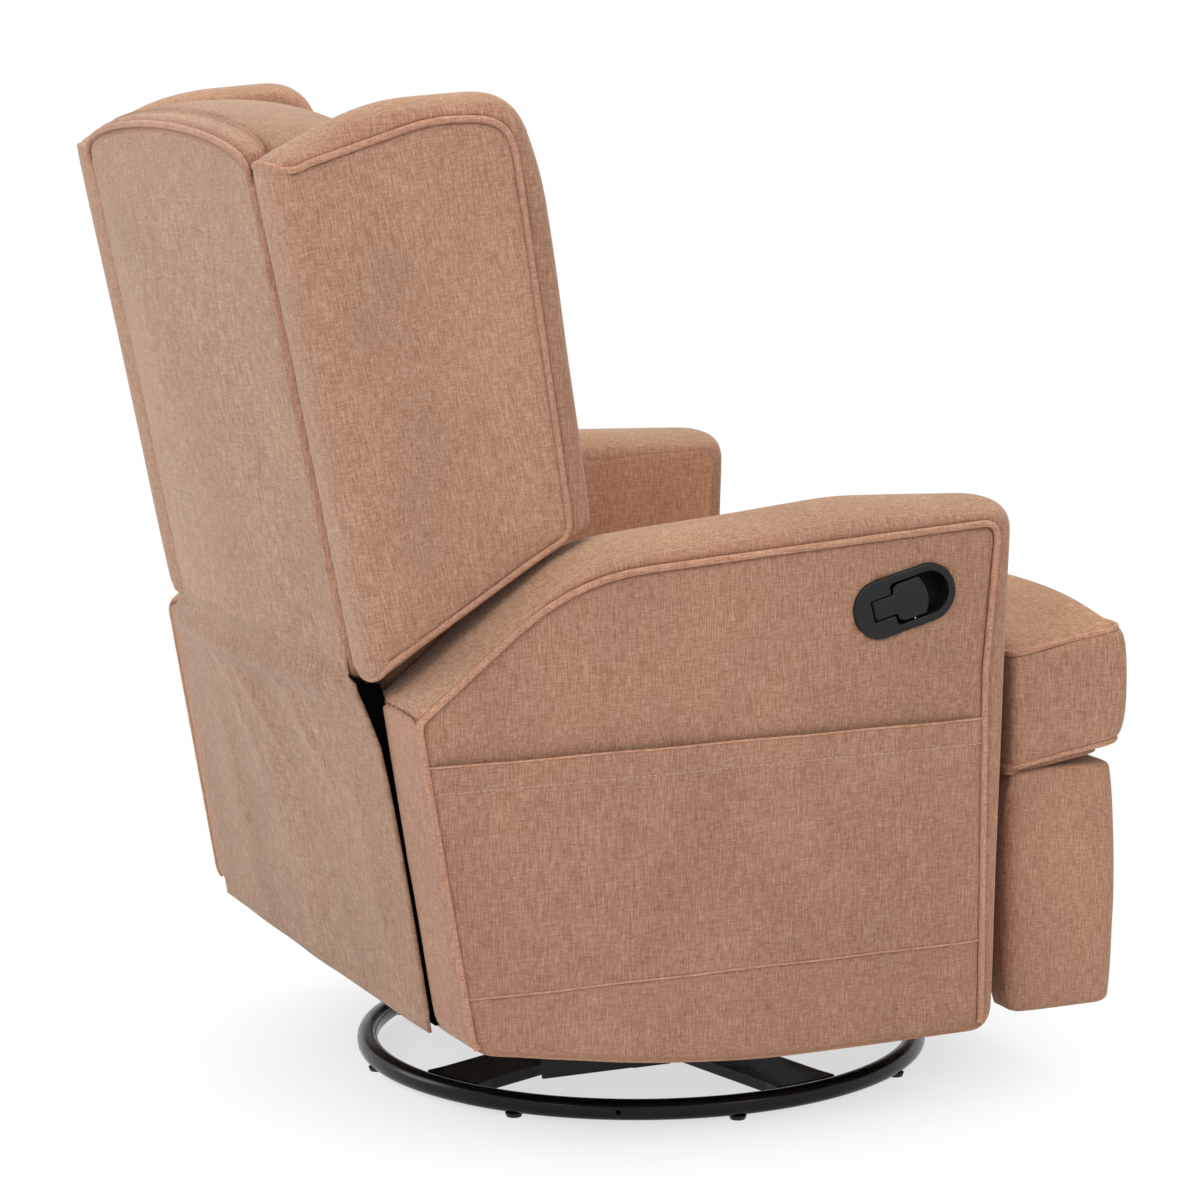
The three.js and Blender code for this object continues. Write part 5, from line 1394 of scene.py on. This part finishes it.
def flap_fold(x, z):
    """Slack and folds in the flap's cloth. A fold is lower at its ends."""
    out = 0.0
    for x0, z0, x1, z1, width, height in FLAP_FOLDS:
        start, run, here = Vector((x0, z0)), Vector((x1 - x0, z1 - z0)), Vector((x, z))
        share = min(1, max(0, (here - start).dot(run) / run.length_squared))
        away = (here - start - run * share).length
        out += height * sin(pi * (0.12 + 0.76 * share)) * exp(-(away / width) ** 2)
    waves_along, waves_up, seed = 9, 3.2, 4.0
    slack = 1 - eased(z, BACK.bottom - 0.01, BACK.bottom + 0.02)
    out += FLAP.slack * noise.noise(Vector((x * waves_along, z * waves_up, seed))) * slack
    return out


def make_flap(looks):
    """The cloth runs on from the back's panel, which it lies on at the top."""
    columns, rows = 110, 96
    bottom, join, thickness = FLAP.bottom, BACK.bottom, FLAP.thickness
    top = join + FLAP.overlap
    hem_line = bottom + FLAP.hem
    grids = [[], []]
    for row in range(rows + 1):
        z = bottom + (top - bottom) * row / rows
        right, left = -flap_half_width(z, RIGHT), flap_half_width(z, LEFT)
        onto = eased(z, join - FLAP.join_ease, join + FLAP.join_ease)
        hem = eased(z, hem_line, hem_line - FLAP.hem_ease)
        sink = FLAP.sink * eased(z, join + FLAP.sink_start, top)
        outer, inner = [], []
        for column in range(columns + 1):
            x = right + (left - right) * column / columns
            panel = rear_line(z) + panel_bulge(x, z) + FLAP.proud - sink
            y = flap_surface(x, min(z, join)) + thickness
            y = y + (panel - y) * onto + flap_fold(x, z) * (1 - onto) + FLAP.hem_fold * hem
            outer.append(from_axis(x, y, z))
            inner.append(from_axis(x, y - thickness * (1 - 0.6 * onto), z))
        grids[0].append(inner)
        grids[1].append(outer)
    flap = cloth_sheet("back_flap_cloth", *grids, None)
    stored = flap.data.attributes.new(REST_PLACE, "FLOAT_VECTOR", "POINT")
    stored.data.foreach_set("vector", [value for vertex in flap.data.vertices for value in vertex.co])
    finish_fabric(flap, "back_flap", looks["flap"])
    # A black sheet behind the flap: painted shade in the gaps at its sides.
    lining = cloth_sheet("painted_shade_sheet", *painted_shade_sheet_grids(), None)
    finish_fabric(lining, None, looks["lining"])
    for sheet in (flap, lining):
        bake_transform(sheet)


def painted_shade_sheet_grids():
    """A black sheet close behind the flap, painted shade: it fills the chair's rear with black
    where the gaps beside the flap lie in shadow, and turns in at its sides.
    """
    columns, rows = 30, 30
    low, high = FLAP.lining_bottom, FLAP.lining_top
    turned_in = Vector((0, -FLAP.lining_return, 0))
    grids = [[], []]
    for row in range(rows + 1):
        z = low + (high - low) * row / rows
        for layer in (0, 1):
            depth = FLAP.lining_thickness * (1 - layer)
            half = FLAP.lining_half_width - depth
            left = min(half, flap_half_width(z, LEFT) - FLAP.thickness)
            line = [
                from_axis(x, flap_surface(x, z) - FLAP.lining_behind - depth, z)
                for x in np.linspace(-half, left, columns + 1)
            ]
            grids[layer].append([line[0] + turned_in] + line + [line[-1] + turned_in])
    return grids


# Seat cushion, platform and footrest


def tee_outline(grow, pull, ear_rear):
    """The cushion from above. grow moves it outwards, and pull draws out its sides' middles."""
    side = SEAT.ear - grow
    front = SEAT.front + grow
    back = SEAT.rear - grow
    neck = ARM.inner - SEAT.side_gap - grow / 2
    ear = ear_rear - grow / 2
    bulge = SEAT.bulge
    half = [
        (side - pull, (front + ear) / 2, bulge * 4),
        (side, ear, bulge),
        (neck, ear, bulge),
        (neck - pull / 2, (ear + back) / 2, SEAT.thickness),
        (neck, back, bulge * 2),
    ]
    right = [(side, front, bulge * 2)] + half + [(0, back - pull / 2, SEAT.thickness)]
    left = [(-x, y, r) for x, y, r in half[::-1] + [(side, front, bulge * 2)]]
    return rounded_outline(right + left + [(0, front + pull, SEAT.thickness * 2)])


def make_cushion(looks):
    ear_rear = ARM.front - SEAT.ear_gap
    half = SEAT.thickness / 2

    def place(x, y, w):
        return from_axis(x, y, cushion_bottom(y) + half + w)
    crest = tee_outline(-SEAT.crest_inset, 0.0, ear_rear)
    face = tee_outline(SEAT.welt_inset, SEAT.bulge / 3, ear_rear)
    cushion = upholstered(
        "seat_cushion_cover", "seat_frame", place, crest, (face, face), SEAT.thickness,
        (SEAT.crown, 0), (0, (SEAT.front + ear_rear) / 2), groove=SEAT.seam_depth,
        bend=SEAT.squareness, power=SEAT.flatness, far_seam=True,
    )
    ruffled(cushion, "cushion")
    finish_fabric(cushion, "seat_cushion", looks["deep"], looks["panel"])
    subdivided(cushion)
    dress_by_facing(cushion, looks, (0,))
    for name, level in (("top", 1), ("bottom", -1)):
        path = [place(u, v, level * (half + SEAT.welt_out)) for u, v in face]
        add_cord("cushion_welt_" + name, resampled(path + [path[0]]), "seat_frame", looks["piping"])


def make_platform(looks):
    ear_rear = ARM.front - SEAT.ear_gap
    side = SEAT.ear - PLATFORM.side_inset
    front = SEAT.front + PLATFORM.front_inset
    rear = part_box("seat_platform")[1].y - AXIS.y
    tongue = ARM.inner - PLATFORM.arm_gap
    half_outline = [
        (side, front, PLATFORM.front_corner), (side, ear_rear, PLATFORM.ear_corner),
        (tongue, ear_rear, PLATFORM.tongue_corner), (tongue, rear, PLATFORM.tongue_corner),
    ]
    outline = rounded_outline(half_outline + [(-x, y, r) for x, y, r in half_outline[::-1]])
    thickness = PLATFORM.thickness

    def place(x, y, w):
        return from_axis(x, y, cushion_bottom(y) - CONTACT - thickness / 2 + w)
    step = upholstered(
        "seat_deck", "seat_frame", place, outline, (outline, outline), thickness, (0, 0),
        (0, (front + ear_rear) / 2), steps=3, bend=PLATFORM.squareness,
    )
    finish_fabric(step, "seat_platform", looks["panel"], looks["panel"])


def footrest_route():
    """Along the middle of the padding, from the left cheek's rear round to the right one's:
    x, y and which way is out."""
    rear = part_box("footrest_side_left")[1].y - AXIS.y
    half = FOOT.thickness / 2
    outer, front = FOOT.half_width - half, FOOT.front + half
    corner = FOOT.corner - half / 2
    across = outer - corner
    cheek = [(outer, rear - (rear - front - corner) * k / 6, 0) for k in range(7)]
    for k in range(1, 11):
        turn = pi / 2 * k / 10
        cheek.append((across + corner * cos(turn), front + corner - corner * sin(turn), turn))
    straight = [(across - 2 * across * k / 40, front, pi / 2) for k in range(1, 40)]
    return cheek + straight + [(-x, y, pi - turn) for x, y, turn in reversed(cheek)]


def make_footrest(looks):
    """One padded panel that goes round the front and both cheeks, with rounded corners."""
    half = FOOT.thickness / 2
    middle = (FOOT.bottom + FOOT.top) / 2
    tall = (FOOT.top - FOOT.bottom) / 2
    section = rounded_outline([
        (side * half, level * tall, FOOT.edge) for side, level in ((-1, -1), (1, -1), (1, 1), (-1, 1))
    ], 7, 12)
    route = footrest_route()
    loops = []
    for index, (x, y, angle) in enumerate(route):
        # The panel is fuller in its middle, and drawn in a little at its ends
        end = min(index, len(route) - 1 - index)
        full = 1 - FOOT.end_draw * max(0, 1 - end / 2) ** 2
        lowered = 1 - FOOT.end_drop * (1 - full)
        loop = []
        for out, up in section:
            swell = FOOT.crown * (1 - (up / tall) ** 4) * (out > 0)
            square = 1 + FOOT.squareness * sin(2 * angle) ** 2 * (out > 0)
            reach = out * full * square + swell
            place = (x + reach * cos(angle), y - reach * sin(angle), middle + up * lowered)
            loop.append(from_axis(*place))
        loops.append(loop)
    tips = [sum(loop, Vector()) / len(loop) for loop in (loops[0], loops[-1])]
    cover = loft("footrest_cover", loops, *tips, "footrest")
    ruffled(cover, "footrest")
    finish_fabric(cover, None, looks["panel"])
    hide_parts("footrest_pad", "footrest_side_left", "footrest_side_right")
    subdivided(cover)
    dress_by_facing(cover, looks)


# Carried-over metal, wood and plastic

# Which look each material slot of the solids takes. Wood's grain runs across or up.
SLOT_LOOKS = {
    "black_steel": "black_steel", "zinc_steel": "zinc", "spring_steel": "spring",
    "black_plastic": "plastic", "glide_plastic": "glide", "fabric": "panel", "wood": "wood_across",
}
UPRIGHT_WOOD = ("side_panel_left", "side_panel_right", "back_frame")


def dress_nodes(looks):
    slots = {entry["node"]: entry["material_slot"] for entry in frame["record"]["subparts"]}
    for name, node in frame["nodes"].items():
        look = "wood_up" if name in UPRIGHT_WOOD else SLOT_LOOKS[slots[name]]
        node.data.materials.clear()
        node.data.materials.append(looks[look])


def main():
    bpy.context.scene.view_settings.view_transform = "Standard"
    make_camera()
    make_world()
    make_floor()
    make_lights()
    looks = make_materials()
    dress_nodes(looks)
    make_base(looks)
    for side in (LEFT, RIGHT):
        make_arm(side, looks)
        make_wing(side, looks)
    for make in (
        make_pocket, make_bezel, make_lever, make_screw, make_back_panel, make_back_pad,
        make_flap, make_cushion, make_platform, make_footrest,
    ):
        make(looks)


main()
